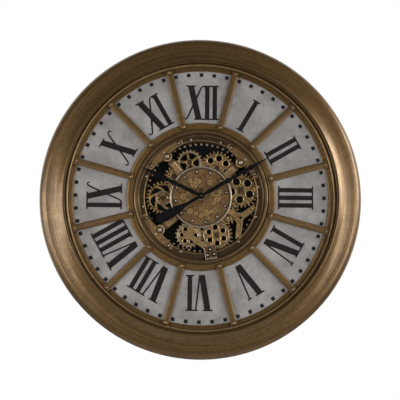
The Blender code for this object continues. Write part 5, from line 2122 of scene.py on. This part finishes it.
@dataclass
class Studio:
    """Pale floor, soft lamps, white surroundings and the camera at the photograph's angle."""

    distance: float = 2.0
    azimuth: float = -1.43
    elevation: float = -6.03
    roll: float = 0.6
    aim: tuple[float, float, float] = (-0.0014, 0.0, -0.0039)
    lens: float = 70.74
    floor_height: float = -1.8
    floor_gloss: float = 0.1
    surroundings: float = 0.048
    floor_colour: tuple[float, ...] = (0.8, 0.8, 0.8, 1.0)
    world_colour: tuple[float, ...] = (1.0, 0.985, 0.965, 1.0)
    white: tuple[float, ...] = (1.0, 1.0, 1.0, 1.0)
    behind_span: Point = (-0.1, 0.25)
    lamps: tuple[tuple[str, tuple[float, float, float], Point, float], ...] = (
        ("right_softbox", (1.9, -0.62, 0.56), (0.9, 1.1), 29.0),
        ("left_softbox", (-1.5, -1.3, -0.08), (2.0, 0.75), 27.0),
        ("right_fill", (1.35, -1.45, -0.1), (1.0, 0.9), 15.0),
    )

    def floor(self) -> None:
        """A wide pale floor that the camera sees as white."""
        deselect_all()
        bpy.ops.mesh.primitive_plane_add(size=8.0, location=(0.0, 0.0, self.floor_height))
        floor = bpy.context.active_object
        floor.name = "floor"
        made = bpy.data.materials.new("pale_floor")
        made.use_nodes = True
        nodes = made.node_tree.nodes
        graph = Graph(made.node_tree)
        pale = graph.fill(nodes["Principled BSDF"], {"Base Color": self.floor_colour, "Roughness": 0.8})[0]
        glow = graph.add("ShaderNodeEmission").outputs[0]
        surface = graph.blend(self.seen(graph, self.floor_gloss), pale, glow)
        graph.fill(nodes["Material Output"], {"Surface": surface})
        floor.data.materials.append(made)

    def seen(self, graph: Graph, mirrored: object) -> bpy.types.NodeSocket:
        """How far a ray sees the white background instead of the studio's light.

        Args:
            graph: The tree to add the nodes to.
            mirrored: How far gloss and glass show the background, as a value or a socket.

        Returns:
            1 for rays from the camera, the given share for gloss and glass, 0 for all else.
        """
        path = graph.add("ShaderNodeLightPath").outputs
        either = graph.maths("MAXIMUM", path["Is Glossy Ray"], path["Is Transmission Ray"])
        return graph.maths("MAXIMUM", path["Is Camera Ray"], graph.times(either, mirrored))

    def world(self) -> None:
        """White where it is seen, and a soft grey light where it isn't."""
        world = bpy.data.worlds.new("surroundings")
        bpy.context.scene.world = world
        world.use_nodes = True
        world.node_tree.nodes.clear()
        graph = Graph(world.node_tree)
        shades = []
        for colour, strength in ((self.world_colour, self.surroundings), (self.white, 1.0)):
            values = {"Color": colour, "Strength": strength}
            shades.append(graph.fill(graph.add("ShaderNodeBackground"), values)[0])
        heading = graph.apart(graph.add("ShaderNodeTexCoord").outputs["Generated"])
        behind = graph.span(heading["Y"], *self.behind_span)
        surface = graph.blend(self.seen(graph, behind), *shades)
        graph.fill(graph.add("ShaderNodeOutputWorld"), {"Surface": surface})

    def lights(self) -> None:
        """Two large lamps at the sides and a fill from the front."""
        for name, place, size, power in self.lamps:
            lamp = bpy.data.lights.new(name, "AREA")
            lamp.shape = "RECTANGLE"
            lamp.size, lamp.size_y = size
            lamp.energy = power
            item = bpy.data.objects.new(name, lamp)
            item.location = place
            item.rotation_euler = (-Vector(place)).to_track_quat("-Z", "Y").to_euler()
            bpy.context.scene.collection.objects.link(item)

    def camera(self) -> None:
        """The camera at the photograph's distance and angle."""
        data = bpy.data.cameras.new("camera")
        data.sensor_width = 36.0
        data.lens = self.lens
        item = bpy.data.objects.new("camera", data)
        side, rise = math.radians(self.azimuth), math.radians(self.elevation)
        away = Vector((math.sin(side) * math.cos(rise), -math.cos(side) * math.cos(rise), math.sin(rise)))
        item.location = Vector(self.aim) + away * self.distance
        level = (-away).to_track_quat("-Z", "Y").to_matrix()
        item.rotation_euler = (level @ Matrix.Rotation(math.radians(self.roll), 3, "Z")).to_euler()
        bpy.context.scene.collection.objects.link(item)
        bpy.context.scene.camera = item

    def build(self) -> None:
        """Sets up the studio."""
        self.floor()
        self.world()
        self.lights()
        self.camera()
        bpy.context.scene.view_settings.view_transform = "Standard"


def main() -> None:
    """Builds the clock's pieces in order, then the studio."""
    logging.basicConfig(level=logging.INFO, format="%(name)s: %(message)s")
    deselect_all()
    case = (OuterRing(), Dial(), Numerals(), Spokes(), Window())
    works = (GearTrain(), Bridges(), CentreDisc(), Hands(), BackWorks())
    for assembly in (Studio(), *case, *works):
        LOG.info("building %s", type(assembly).__name__)
        assembly.build()


if __name__ == "__main__":
    main()
